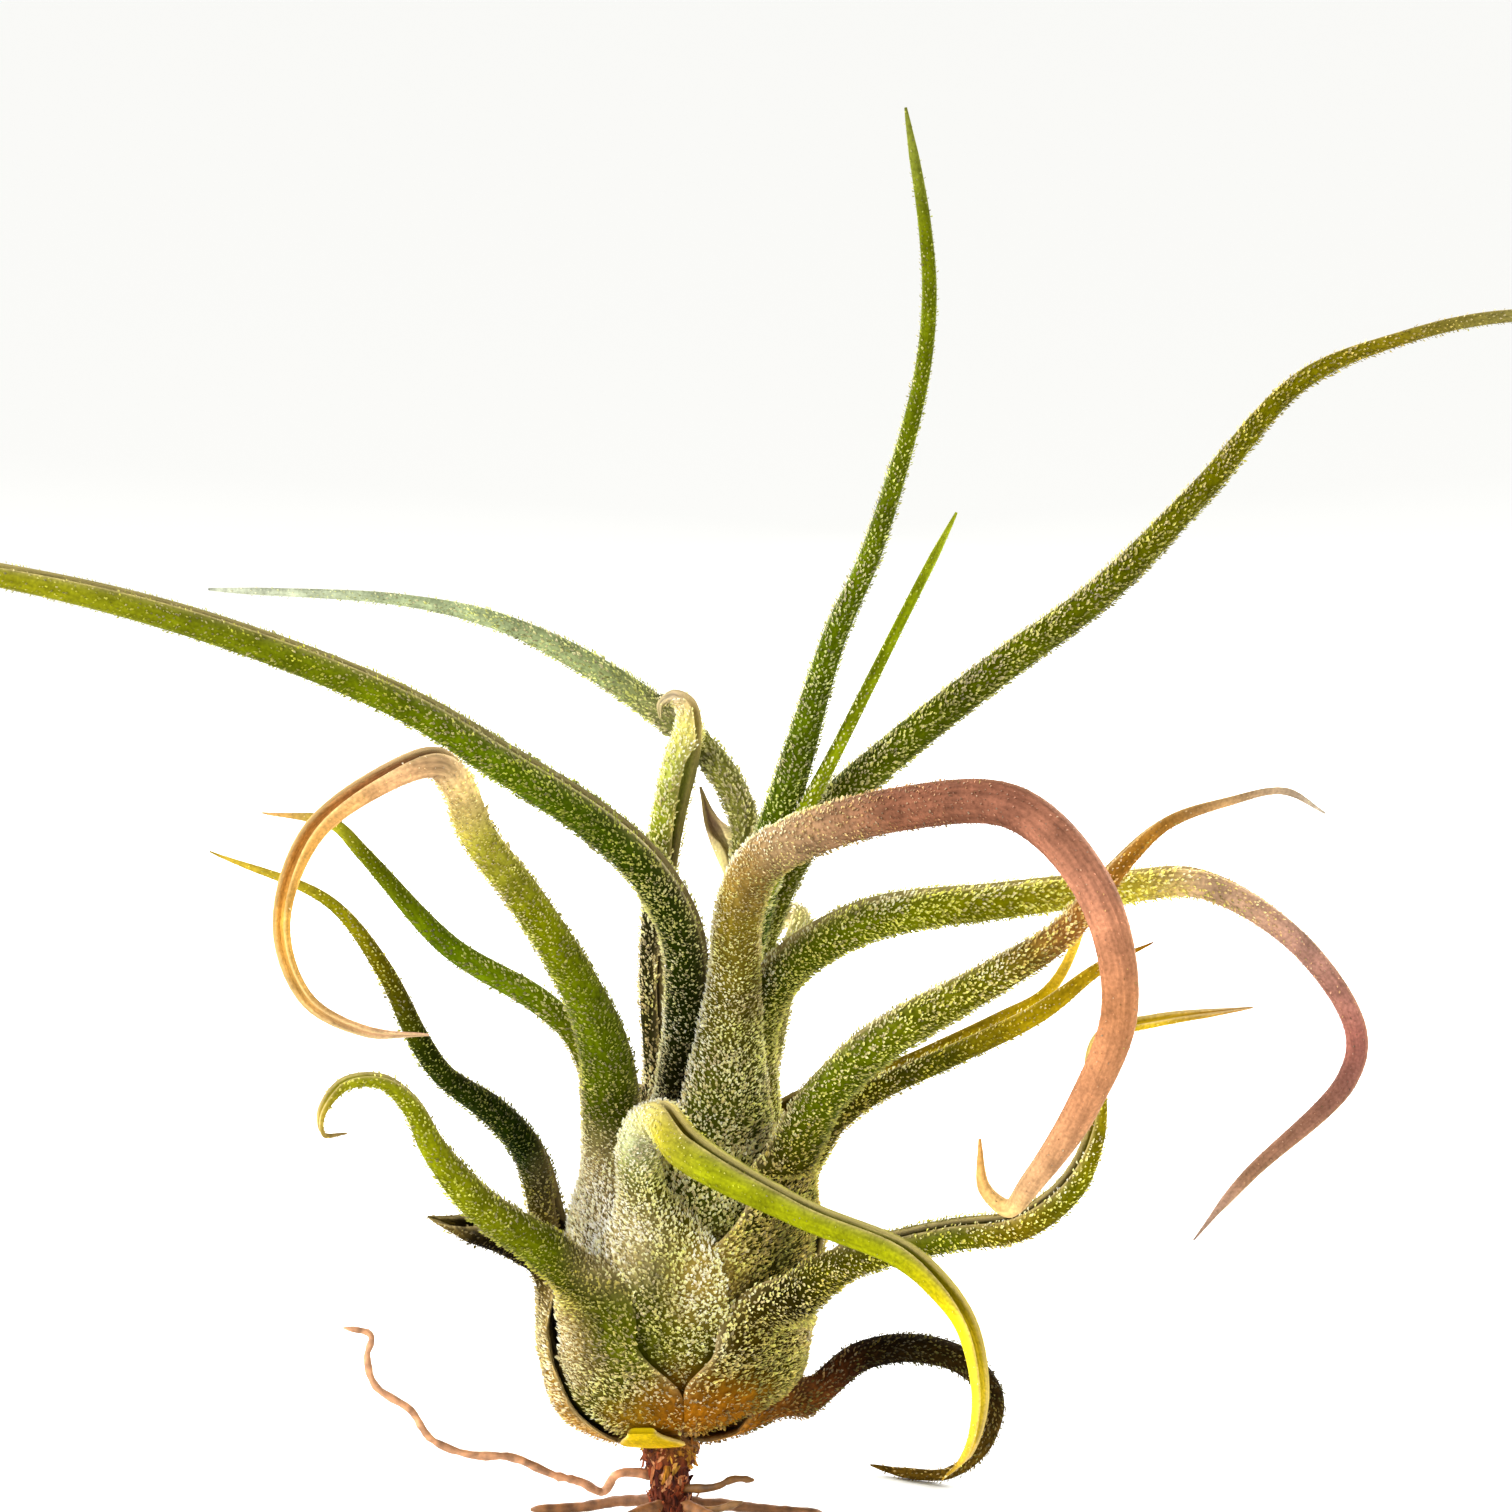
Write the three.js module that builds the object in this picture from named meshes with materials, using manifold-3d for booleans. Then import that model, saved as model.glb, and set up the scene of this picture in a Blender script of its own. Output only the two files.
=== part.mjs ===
import * as THREE from "three";
import Module from "manifold-3d";
import { mergeVertices } from "three/addons/utils/BufferGeometryUtils.js";

// An air plant, Tillandsia pruinosa: a swollen bulb of leaf bases, and rolled leaves that curl away from it.
// Millimetres. +Z is up, +X is the plant's right, and +Y is its back.
// The origin is the middle of the foot of its stem, where it stands.

const wasm = await Module();
wasm.setup();

const UP = new THREE.Vector3(0, 0, 1);
const degrees = THREE.MathUtils.degToRad;
const clamp = THREE.MathUtils.clamp;
const lerp = THREE.MathUtils.lerp;

// The bulb's skin: radius and height, from its foot to its neck
const BULB_SKIN = [
  [3.9, 9.3],
  [10, 10.8],
  [13.8, 14.2],
  [15, 20],
  [15, 27],
  [13.4, 35],
  [10.2, 43.5],
  [7.4, 51],
];
const BULB_X = 0.8;
const LEAN = 0.147;
const LEAN_FROM = 24;

// The bulb sits askew on its stem: its foot is lower on the left, up to this height
const ASKEW = 0.1;
const ASKEW_FROM = 12;
const ASKEW_TO = 34;

// Leaf bases lie in layers, 0 outermost. Each layer is the skin drawn in by this share towards its heart,
// and the inner ones fill the bulb where the outer ones have left it.
const LAYER_SHARE = 0.083;
const HEART_Z = 24;
const LAYERS_LEAVE_FROM = 18;
const LAYERS_LEAVE_PER_MM = 0.144;

// A base covers less of its angle at its foot, and narrows from this share of its height
const FOOT_WRAP = 0.93;
const FOOT_SHARE = 0.15;
const NARROW_FROM = 0.35;

// A leaf's section is an open roll
const ROLL = degrees(163);
const TIP_ROLL = degrees(95);
const TIP_RADIUS = 0.6;
const FULL_ROLL_RADIUS = 1.6;
const THINNEST = 0.62;
const THICKEST = 1.15;
const THICKNESS_SHARE = 0.58;
const BASE_THICKNESS = 0.72;
const BASE_RADIUS = 5;
const BORE_SHARE = 0.12;
const WIDE_LEAF = 5.4;
const WIDE_POINTS = 7;
const NARROW_POINTS = 6;
const GAP = 0.3;

// How far apart the sections of a leaf are
const BASE_STATIONS = 11;
const JOIN_STEP = 2.6;
const BLADE_STEP = 9.5;
const BLADE_TURN = degrees(30);

// The point of its route by which a blade has made its twist
const TWIST_BY = 2;
const ROUTE_SAMPLES = 400;

// The leaves, from the innermost: where two would touch, the one listed first is cut clear of the other.
// layer is its layer in the bulb, towards the way it faces there in degrees from +X,
// wrap half of the angle that it covers, neck the height where it leaves the bulb, flat half of its
// width when rolled out, and mouth the same at the neck where that differs. full is the share of its
// height up to which a base keeps its angle, veer how far it has turned by its neck, and twist how far its
// roll turns round early in its blade. route is the middle line of its blade: x, y, z and the width of the
// roll. A leaf without one is a base alone.
const LEAVES = [
  {
    name: "leaf_youngest",
    colour: 0x8aa02a,
    layer: 7,
    towards: 290,
    wrap: 50,
    neck: 40,
    flat: 3,
    route: [
      [6, -1.2, 50, 1.5],
      [7.2, -3, 60, 1.8],
      [9.3, -3.3, 67.5, 1.9],
      [13.2, -2.2, 75.5, 1.9],
      [18, 0.8, 84.5, 1.5],
      [25, 5, 98, 1.2],
      [30, 7, 107.5, 0.9],
    ],
  },
  {
    name: "leaf_upright",
    colour: 0x5d7a2a,
    layer: 6,
    towards: 120,
    wrap: 55,
    neck: 38,
    flat: 6,
    mouth: 5,
    twist: 130,
    route: [
      [5, 2.4, 50, 2.4],
      [7.8, 1, 61, 3.3],
      [10.1, 0.4, 72, 3.8],
      [12.2, -0.3, 79, 3.5],
      [17, 0, 95, 2.5],
      [21, 2, 104, 2.2],
      [26, 5, 121, 1.7],
      [27, 6, 130, 1.6],
      [26.5, 7, 138, 1.4],
      [24.5, 8, 150, 0.9],
    ],
  },
  {
    name: "leaf_long_right",
    colour: 0x5f7a30,
    layer: 5,
    towards: 20,
    wrap: 42,
    neck: 40,
    flat: 6,
    mouth: 4.4,
    veer: 14,
    twist: -70,
    route: [
      [7.6, 5.6, 50, 2.8],
      [8.9, 5, 60, 3.2],
      [11.3, 3.9, 67.5, 3.1],
      [15.2, 2.9, 75, 3.8],
      [24, 4, 83, 3.7],
      [34.5, 6, 91, 3.5],
      [45.5, 8, 99, 3.2],
      [56, 10, 109.5, 2.7],
      [66.5, 12, 121, 2.2],
      [77, 13, 125.5, 1.7],
      [89, 13, 128, 1.6],
      [112, 10, 127, 0.9],
    ],
  },
  {
    name: "leaf_long_left",
    colour: 0x4f6b1e,
    layer: 5,
    towards: 190,
    wrap: 38,
    neck: 37,
    flat: 6.4,
    twist: -15,
    route: [
      [0.8, 0.4, 47, 5],
      [1.7, -1.2, 55, 5],
      [1.2, -3.7, 64.3, 4.8],
      [-2.1, -5, 70.8, 4.6],
      [-7.7, -6, 76.3, 4.4],
      [-18, -6, 83, 4.1],
      [-28, -6, 89, 3.6],
      [-49, -5, 97, 3.2],
      [-70, -3, 102, 2.7],
      [-91, 2, 104, 1.9],
      [-107, 6, 102, 0.9],
    ],
  },
  {
    name: "leaf_back_left",
    colour: 0x6f8a5a,
    layer: 5,
    towards: 106,
    wrap: 34,
    neck: 40,
    flat: 4.5,
    twist: 90,
    route: [
      [3.6, 5.8, 50, 2.2],
      [5.6, 6.4, 61, 2.6],
      [7.5, 7.6, 69, 2.9],
      [7.6, 9.7, 74, 3.1],
      [5.4, 14, 78.5, 3.1],
      [1.7, 19, 82, 3],
      [-1.6, 21.6, 84.3, 3],
      [-9.3, 26.5, 88.8, 2.7],
      [-19.4, 31.5, 93, 2],
      [-30.7, 36, 95, 1.4],
      [-52.3, 40, 95.7, 0.8],
    ],
  },
  {
    name: "leaf_right_arch",
    colour: 0x7d8a45,
    layer: 4,
    towards: 355,
    wrap: 40,
    neck: 37,
    flat: 6.4,
    route: [
      [8.6, -0.9, 47, 5],
      [8.7, -1.6, 54, 4.7],
      [11.9, -3.2, 60.5, 4.8],
      [20.5, -5.5, 66, 4.5],
      [34.5, -5, 68, 3.9],
      [48, -2, 69, 3.5],
      [55.5, 0, 69, 3.2],
      [66.5, 4, 62, 2.8],
      [73, 6, 52, 2.6],
      [72, 6, 46.5, 2.5],
      [61.5, 4, 36.5, 1.8],
      [55.5, 2, 30, 0.9],
    ],
  },
  {
    name: "leaf_big_loop",
    colour: 0xb3907e,
    layer: 5,
    towards: 280,
    wrap: 42,
    neck: 41,
    flat: 6.8,
    route: [
      [5.5, -4.2, 47, 9.2],
      [6.1, -5, 54, 6.6],
      [6.6, -7.4, 61, 5],
      [7, -9.8, 67.5, 4.7],
      [9, -13, 73, 4.7],
      [12.5, -16.5, 76, 4.6],
      [23.5, -24, 80.5, 4.5],
      [35, -31, 81.5, 4.5],
      [42.5, -35, 74, 4.2],
      [45, -36, 62.5, 3.8],
      [41.5, -34, 52, 3.4],
      [36.5, -30.5, 43.2, 2.5],
      [34.4, -28, 40.2, 1.9],
      [32, -26.8, 42, 1.4],
      [31.5, -26, 47, 0.9],
    ],
  },
  {
    name: "leaf_hooked",
    colour: 0x9aa06a,
    layer: 4,
    towards: 150,
    wrap: 34,
    neck: 38,
    flat: 4.6,
    route: [
      [-1.8, 4.8, 48, 2.6],
      [-2.3, 7.6, 58, 2.7],
      [-1.5, 11, 67.5, 3.2],
      [-0.6, 13, 73.7, 3.7],
      [0.8, 14, 79.6, 4],
      [1.7, 14.2, 83.9, 3.6],
      [1.4, 14.7, 86, 3],
      [0, 14.9, 87, 2.4],
      [-1.5, 14.5, 86.2, 1.7],
      [-1.5, 14, 84.6, 0.9],
    ],
  },
  {
    name: "leaf_back_creased",
    colour: 0xb4ab7c,
    layer: 4,
    towards: 75,
    wrap: 32,
    neck: 38,
    flat: 5.2,
    route: [
      [5, 9.8, 49, 2.6],
      [8.4, 10.4, 58, 3.2],
      [9.2, 11.4, 64, 4],
      [8, 12.6, 67.2, 4.4],
      [6, 13.6, 70.6, 3.6],
      [4.1, 14.6, 73.2, 2],
      [2.8, 15.6, 77, 0.9],
    ],
  },
  {
    name: "leaf_left_loop",
    colour: 0x8a8a3a,
    layer: 3,
    towards: 200,
    wrap: 40,
    neck: 34,
    flat: 8,
    route: [
      [-5.7, -4.3, 42, 7.4],
      [-6.2, -6.4, 47.5, 6.4],
      [-7, -8.6, 53.5, 5.3],
      [-9.4, -10.8, 60, 4.4],
      [-14.5, -15, 69.5, 4],
      [-19.5, -20, 77.5, 3.8],
      [-21.5, -24, 83.5, 3.5],
      [-23.6, -26.6, 85.6, 3.2],
      [-28, -28, 84.3, 2.8],
      [-35.5, -31, 79, 2.4],
      [-38.5, -33, 70, 1.9],
      [-36, -33, 62.5, 1.7],
      [-30, -32, 59, 1.4],
      [-24, -30, 58.4, 0.9],
    ],
  },
  {
    name: "leaf_right_rising",
    colour: 0x86903c,
    layer: 3,
    towards: 325,
    wrap: 55,
    neck: 38.5,
    flat: 6.2,
    twist: 25,
    full: 0.8,
    route: [
      [12.4, -8.5, 41.5, 5.4],
      [15.5, -10, 48, 5],
      [20.5, -11.5, 53.5, 4.8],
      [34, -12, 61.5, 3.8],
      [40.5, -11, 65.5, 3.2],
      [44, -10, 69.5, 2.8],
      [47, -9, 73, 2.3],
      [51.5, -6, 76.5, 1.9],
      [58, -3, 78.3, 1.5],
      [64.5, 1, 78.8, 1.2],
      [69, 3, 76, 0.9],
    ],
  },
  {
    name: "leaf_right_yellow",
    colour: 0xa9a435,
    layer: 3,
    towards: 60,
    wrap: 34,
    neck: 33,
    flat: 3.6,
    twist: -90,
    route: [
      [9.4, 11.6, 40.5, 2.4],
      [14, 12.2, 43.6, 2.1],
      [20, 12, 45.5, 2],
      [35, 12, 52.5, 1.8],
      [40, 11, 55.5, 1.7],
      [42.6, 10, 60, 1.4],
      [44.5, 9, 67, 0.9],
    ],
  },
  {
    name: "leaf_back_short",
    colour: 0x7b7a44,
    layer: 2,
    towards: 102,
    wrap: 17,
    neck: 34,
    flat: 3.2,
    route: [
      [0, 16, 38, 2.8],
      [-0.5, 23, 43, 2.4],
      [-1, 32, 45, 2],
      [-2, 41, 39.5, 1.5],
      [-2.4, 45, 31, 0.9],
    ],
  },
  {
    name: "leaf_front_folded",
    colour: 0xa8a846,
    layer: 2,
    towards: 265,
    wrap: 40,
    neck: 29,
    flat: 6.2,
    mouth: 8.2,
    veer: -11,
    full: 0.6,
    twist: 50,
    route: [
      [-3.1, -10.9, 38.5, 4.6],
      [-3.5, -10.8, 41.5, 4.2],
      [-3.2, -11.8, 44.7, 3.8],
      [-1.1, -14.5, 46.9, 3.6],
      [1.6, -18.2, 44.3, 4.4],
      [13.5, -24.4, 38.9, 3.1],
      [23.5, -30.3, 36, 3],
      [27.3, -32.8, 33.2, 2.8],
      [30, -34, 29.5, 2.4],
      [31.5, -33, 22.5, 2],
      [30.5, -28, 14.5, 1.5],
      [28, -24.5, 11, 0.9],
    ],
  },
  {
    name: "leaf_right_straight",
    colour: 0x75882e,
    layer: 2,
    towards: 16,
    wrap: 38,
    neck: 31,
    flat: 4.4,
    twist: -50,
    route: [
      [14.4, 6.2, 38, 3.2],
      [17, 6.2, 42, 2.9],
      [21.5, 6, 45.5, 2.7],
      [29.5, 5, 49.5, 2.5],
      [39, 4, 54.5, 2.3],
      [45.5, 4, 59.5, 1.7],
      [51, 4, 62, 0.9],
    ],
  },
  {
    name: "leaf_low_left",
    colour: 0x5c7a22,
    layer: 2,
    towards: 147,
    wrap: 20,
    neck: 31,
    flat: 4.6,
    mouth: 4,
    twist: 70,
    route: [
      [-7.4, 8.2, 44, 3.2],
      [-10.2, 7.8, 51, 3],
      [-14.5, 8, 55, 2.9],
      [-24, 10, 60.5, 2.6],
      [-33, 10, 70.5, 1.9],
      [-36.5, 10, 74, 1.6],
      [-44, 10, 75, 0.9],
    ],
  },
  {
    name: "leaf_old_right",
    colour: 0x5d4524,
    layer: 0,
    towards: 332,
    wrap: 44,
    neck: 10.8,
    flat: 4.4,
    route: [
      [15.8, 1, 14.2, 3.3],
      [20, 5, 16.6, 3.2],
      [26, 8, 16.8, 3.1],
      [31.5, 9.4, 14.8, 2.9],
      [34.6, 10.6, 10.6, 2.3],
      [33.6, 12, 5, 1.8],
      [30, 14, 1.4, 1.5],
      [26, 16, 0.8, 1.5],
      [21.5, 19, 0.9, 1.5],
    ],
  },
  {
    name: "leaf_low_right",
    colour: 0x7f8c2c,
    layer: 1,
    towards: 315,
    wrap: 43,
    neck: 21.5,
    flat: 5.6,
    mouth: 7.6,
    full: 0.75,
    twist: 70,
    route: [
      [13.4, -11.6, 27.5, 4.9],
      [17.5, -13, 31, 4.2],
      [22.5, -15, 33, 3.6],
      [29, -17, 35, 3.4],
      [36, -19, 36.5, 3.3],
      [41, -20, 40.5, 3],
      [43.3, -20, 45.5, 2.4],
      [43.8, -20, 50, 1.9],
      [43, -20.4, 54, 1.7],
      [44.3, -21, 56.8, 1.7],
      [50, -19, 58, 1.6],
      [60, -15, 58.5, 0.9],
    ],
  },
  {
    name: "leaf_curl_left",
    colour: 0x76852c,
    layer: 1,
    towards: 232,
    wrap: 40,
    neck: 23,
    flat: 6.2,
    mouth: 5.2,
    full: 0.65,
    twist: -45,
    route: [
      [-10.6, -11.5, 30, 4.8],
      [-13.5, -13, 33, 4.5],
      [-19.5, -14.5, 37.5, 4],
      [-24.3, -15, 43.5, 3],
      [-26.5, -15, 48, 2.5],
      [-29.5, -16, 51, 2],
      [-33.5, -17, 51, 1.8],
      [-36, -18, 48, 1.5],
      [-35.8, -17, 45.4, 1.2],
      [-33.4, -16, 45.4, 0.9],
    ],
  },
  {
    name: "leaf_left_wavy",
    colour: 0x53682a,
    layer: 1,
    towards: 156,
    wrap: 30,
    neck: 24,
    flat: 5,
    twist: 60,
    route: [
      [-13.2, 2.2, 32, 3.8],
      [-15.2, 0.6, 40, 3.5],
      [-18.8, -1.6, 44.8, 3.2],
      [-24.1, -4.4, 49.5, 2.6],
      [-26.4, -6, 53.4, 2.5],
      [-30, -8, 61.5, 2.1],
      [-35.5, -8, 68.5, 1.6],
      [-48, -7, 73.5, 0.9],
    ],
  },
  {
    name: "leaf_back_right",
    colour: 0x9a9a5c,
    layer: 1,
    towards: 72,
    wrap: 43,
    neck: 26,
    flat: 5,
    twist: -80,
    route: [
      [7.6, 14.6, 36, 3.4],
      [10.2, 17.4, 48, 3],
      [12.2, 22, 56.5, 2.8],
      [13.6, 28, 60.4, 2.4],
      [11.6, 35.5, 59, 2],
      [7.6, 42, 52, 1.5],
      [5.6, 45, 43, 0.9],
    ],
  },
  {
    name: "leaf_blunt_left",
    colour: 0x6d6434,
    layer: 0.2,
    towards: 186,
    wrap: 40,
    neck: 21.5,
    flat: 4.4,
    route: [
      [-14.6, -3.4, 29.6, 3.2],
      [-17.6, -5.4, 31.8, 3.2],
      [-21, -7.6, 33.5, 3],
      [-25.5, -9.4, 35.2, 2.2],
    ],
  },
  {
    name: "leaf_base_remnant",
    colour: 0xa08a20,
    layer: 0,
    towards: 252,
    wrap: 22,
    neck: 13,
    flat: 1.6,
    full: 0.5,
  },
  {
    name: "leaf_back_low",
    colour: 0x6b5a30,
    layer: 0,
    towards: 92,
    wrap: 42,
    neck: 15,
    flat: 5,
    route: [
      [0.8, 17.4, 23, 3.6],
      [0.8, 24, 27, 3.4],
      [0.4, 34, 27, 3],
      [-1, 44, 20, 2.6],
      [-2.4, 50.5, 9.5, 2],
      [-3, 56, 2.4, 1.6],
      [-3.2, 62, 0.75, 1.2],
    ],
  },
];

// Stem: the core that carries the leaf bases, and the bark-covered stub below them
const CORE_FOOT = [3.5, 9.3];
const CORE_TOP = [0.7, 19.6];
const CORE_SIDES = 12;
const STUB = [
  [0, 0, 0, 2.7],
  [-0.1, 0, 1.2, 2.4],
  [-0.3, 0, 3, 2],
  [-0.5, 0, 5.2, 2.1],
  [-0.4, 0, 7.4, 2.8],
  [-0.1, 0, 8.9, 2.9],
  [0.6, 0, 9.8, 3],
];
const STUB_SIDES = 10;
const BARK_DEPTH = 0.22;
const BARK_RIDGES = 3;

// Wiry roots: x, y, z and the radius of each point, and those that end on the ground carry the plant
const ROOTS = [
  [
    [-1, 0, 4.8, 0.6],
    [-6, -2, 5.5, 0.5],
    [-7.5, -2, 3.6, 0.5],
    [-10, -3, 5, 0.48],
    [-12.5, -4, 5.9, 0.46],
    [-17, -6, 8.4, 0.46],
    [-21.5, -7, 9, 0.44],
    [-25.5, -8, 11, 0.42],
    [-27.5, -8, 14, 0.42],
    [-31.2, -9, 17, 0.4],
    [-32, -9, 20, 0.38],
    [-31.6, -9, 22.4, 0.36],
    [-34.5, -9, 23.2, 0.32],
  ],
  [
    [0, 0, 3.4, 0.6],
    [4.5, -3, 4.4, 0.42],
    [6.5, -3.2, 5.3, 0.4],
    [8.6, -4, 5.4, 0.34],
  ],
  [
    [0, 0, 2.2, 0.6],
    [3.6, -3, 1.8, 0.42],
    [7.4, -4, 3, 0.34],
  ],
  [
    [0, 0, 2, 0.8],
    [-4, -4.4, 1.8, 0.6],
    [-8.5, -8.6, 0.66, 0.55],
    [-14, -10.6, 0.52, 0.5],
  ],
  [
    [0, 0, 2, 0.8],
    [3.6, -5, 1.9, 0.6],
    [7.6, -9.6, 0.66, 0.55],
    [13.4, -13, 0.52, 0.5],
  ],
  [
    [0, 0, 1.8, 0.8],
    [-5, 2, 1.5, 0.6],
    [-10, 2.6, 0.66, 0.55],
    [-15.4, 2, 0.52, 0.5],
  ],
  [
    [0, 0, 1.8, 0.8],
    [5.4, 0.6, 1.4, 0.6],
    [11, 1.4, 0.66, 0.52],
    [16, 0.4, 0.52, 0.5],
  ],
];
const ROOT_SIDES = 6;
const ROOT_STEP = 2.6;
const ROOT_TURN = degrees(40);
const ROOT_COLOUR = 0x7a4a2c;

const skinCurve = new THREE.CatmullRomCurve3(
  BULB_SKIN.map(([r, z]) => new THREE.Vector3(r, 0, z)),
);

function axisAt(z) {
  const lean = LEAN * Math.max(0, z - LEAN_FROM);
  return new THREE.Vector3(BULB_X + lean, 0, z);
}

// How steeply a section of the bulb rises towards +X
function askewAt(z) {
  return ASKEW * (1 - THREE.MathUtils.smoothstep(z, ASKEW_FROM, ASKEW_TO));
}

// A layer's skin, u of the way from the bulb's foot to its neck: a point, the way on and the way in
function layerAt(layer, u) {
  const skin = skinCurve.getPoint(u);
  const onward = skinCurve.getTangent(u);
  const inward = new THREE.Vector3(-onward.z, 0, onward.x);
  const gone = Math.max(0, (skin.z - LAYERS_LEAVE_FROM) * LAYERS_LEAVE_PER_MM);
  const heart = new THREE.Vector3(0, 0, HEART_Z);
  const point = skin.lerp(heart, LAYER_SHARE * Math.max(0, layer - gone));
  return { point, onward, inward };
}

// How far up the bulb a leaf leaves it
function neckOf(leaf) {
  let u = 0;
  while (u < 1 && layerAt(leaf.layer, u).point.z < leaf.neck) u += 0.005;
  return u;
}

function thicknessOf(radius) {
  const blade = clamp(radius * THICKNESS_SHARE, THINNEST, THICKEST);
  return lerp(blade, BASE_THICKNESS, THREE.MathUtils.smoothstep(radius, 2.6, BASE_RADIUS));
}

// Half of the angle that a section of this radius covers
function rollOf(radius, halfWidth) {
  const s = clamp(
    (radius - TIP_RADIUS) / (FULL_ROLL_RADIUS - TIP_RADIUS),
    0,
    1,
  );
  return Math.min(lerp(TIP_ROLL, ROLL, s), halfWidth / radius);
}

function square(vector, normal) {
  return vector.clone().addScaledVector(normal, -vector.dot(normal)).normalize();
}

// A section: rib is the middle of its outer side, way the leaf's direction, and inward the way to its middle
function section(rib, way, inward, radius, halfWidth, slope) {
  return {
    rib,
    way,
    inward: square(inward, way),
    radius,
    roll: rollOf(radius, halfWidth),
    slope,
  };
}

function facing(towards) {
  const angle = degrees(towards);
  return new THREE.Vector3(Math.cos(angle), Math.sin(angle), 0);
}

function baseSections(leaf) {
  // All leaves have their sections at the same stations of the bulb, so their facets nest
  const last = neckOf(leaf);
  const stations = [...Array(BASE_STATIONS).keys()]
    .map((i) => i / BASE_STATIONS)
    .filter((u) => u < last - 0.5 / BASE_STATIONS);
  stations.push(last);
  const widest = degrees(leaf.wrap);
  const mouth = leaf.mouth ?? leaf.flat;
  const sections = [];
  for (const u of stations) {
    const { point, onward, inward } = layerAt(leaf.layer, u);
    const outward = facing(leaf.towards + (leaf.veer ?? 0) * (u / last) ** 2);
    const rise = askewAt(point.z);
    const way = new THREE.Vector3(-rise, 0, 1).normalize();
    const out = outward.clone().setZ(rise * outward.x).normalize();
    const rib = axisAt(point.z).addScaledVector(out, point.x);
    const narrowing = THREE.MathUtils.smoothstep(u / last, leaf.full ?? NARROW_FROM, 1);
    const closed = lerp(FOOT_WRAP, 1, THREE.MathUtils.smoothstep(u, 0, FOOT_SHARE));
    const wrapped = widest * closed * point.x;
    const half = lerp(wrapped, Math.min(mouth, wrapped), narrowing);
    const made = section(rib, way, out.clone().negate(), point.x, half);
    made.slope = Math.atan2(inward.z, -inward.x);
    made.onward = outward
      .clone()
      .multiplyScalar(onward.x)
      .addScaledVector(UP, onward.z)
      .normalize();
    sections.push(made);
  }
  return sections;
}

function widthCurve(route) {
  return new THREE.CatmullRomCurve3(
    route.map(([, , , w], i) => new THREE.Vector3(i, w, 0)),
    false,
    "catmullrom",
    0.3,
  );
}

// How far a leaf's roll has turned round, this share of the way along its route
function twistAt(leaf, share) {
  const place = share * (leaf.route.length - 1);
  return degrees(leaf.twist ?? 0) * THREE.MathUtils.smoothstep(place, 0, TWIST_BY);
}

// Even steps of length and of turning along a route, as shares of its parameter
function stepsAlong(curve, longest, turn, twisted = () => 0) {
  const cost = [0];
  let way = curve.getTangent(0);
  let point = curve.getPoint(0);
  for (let i = 1; i <= ROUTE_SAMPLES; i++) {
    const nextPoint = curve.getPoint(i / ROUTE_SAMPLES);
    const nextWay = curve.getTangent(i / ROUTE_SAMPLES);
    const length = point.distanceTo(nextPoint) / longest;
    const twist = twisted(i / ROUTE_SAMPLES) - twisted((i - 1) / ROUTE_SAMPLES);
    const turning = (way.angleTo(nextWay) + Math.abs(twist)) / turn;
    cost.push(cost[i - 1] + Math.max(length, turning));
    point = nextPoint;
    way = nextWay;
  }
  const total = cost[ROUTE_SAMPLES];
  const steps = Math.ceil(total);
  const shares = [];
  let i = 0;
  for (let k = 0; k <= steps; k++) {
    const wanted = (total * k) / steps;
    while (i < ROUTE_SAMPLES && cost[i + 1] < wanted) i++;
    const part = (wanted - cost[i]) / Math.max(cost[i + 1] - cost[i], 1e-9);
    shares.push(Math.min(1, (i + clamp(part, 0, 1)) / ROUTE_SAMPLES));
  }
  shares[steps] = 1;
  return shares;
}

function bladeSections(leaf) {
  const curve = new THREE.CatmullRomCurve3(
    leaf.route.map(([x, y, z]) => new THREE.Vector3(x, y, z)),
  );
  const widths = widthCurve(leaf.route);
  let inward = facing(leaf.towards + (leaf.veer ?? 0)).negate();
  let turned = 0;
  const twisted = (share) => twistAt(leaf, share);
  return stepsAlong(curve, BLADE_STEP, BLADE_TURN, twisted).map((share) => {
    const way = curve.getTangent(share);
    const radius = Math.max(widths.getPoint(share).y, 0.8) / 2;
    inward = square(inward, way).applyAxisAngle(way, twisted(share) - turned);
    turned = twisted(share);
    const rib = curve.getPoint(share).addScaledVector(inward, -radius);
    const made = section(rib, way, inward, radius, leaf.flat, 0);
    made.onward = way;
    return made;
  });
}

// Sections that lead from the bulb into the blade, rolling up on the way
function joinSections(from, to) {
  const distance = from.rib.distanceTo(to.rib);
  const steps = Math.max(2, Math.round(distance / JOIN_STEP));
  const reach = distance;
  const sections = [];
  for (let i = 1; i < steps; i++) {
    const t = i / steps;
    const rib = new THREE.Vector3()
      .addScaledVector(from.rib, (1 + 2 * t) * (1 - t) ** 2)
      .addScaledVector(to.rib, t * t * (3 - 2 * t))
      .addScaledVector(from.onward, reach * t * (1 - t) ** 2)
      .addScaledVector(to.onward, -reach * t * t * (1 - t));
    const way = from.way.clone().lerp(to.way, t).normalize();
    const inward = from.inward.clone().lerp(to.inward, t);
    const radius = 1 / lerp(1 / from.radius, 1 / to.radius, t * t);
    const half = lerp(from.roll * from.radius, to.roll * to.radius, t);
    const made = section(rib, way, inward, radius, half);
    made.roll = Math.min(ROLL, half / radius);
    made.slope = lerp(from.slope, to.slope, t);
    sections.push(made);
  }
  return sections;
}

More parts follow.
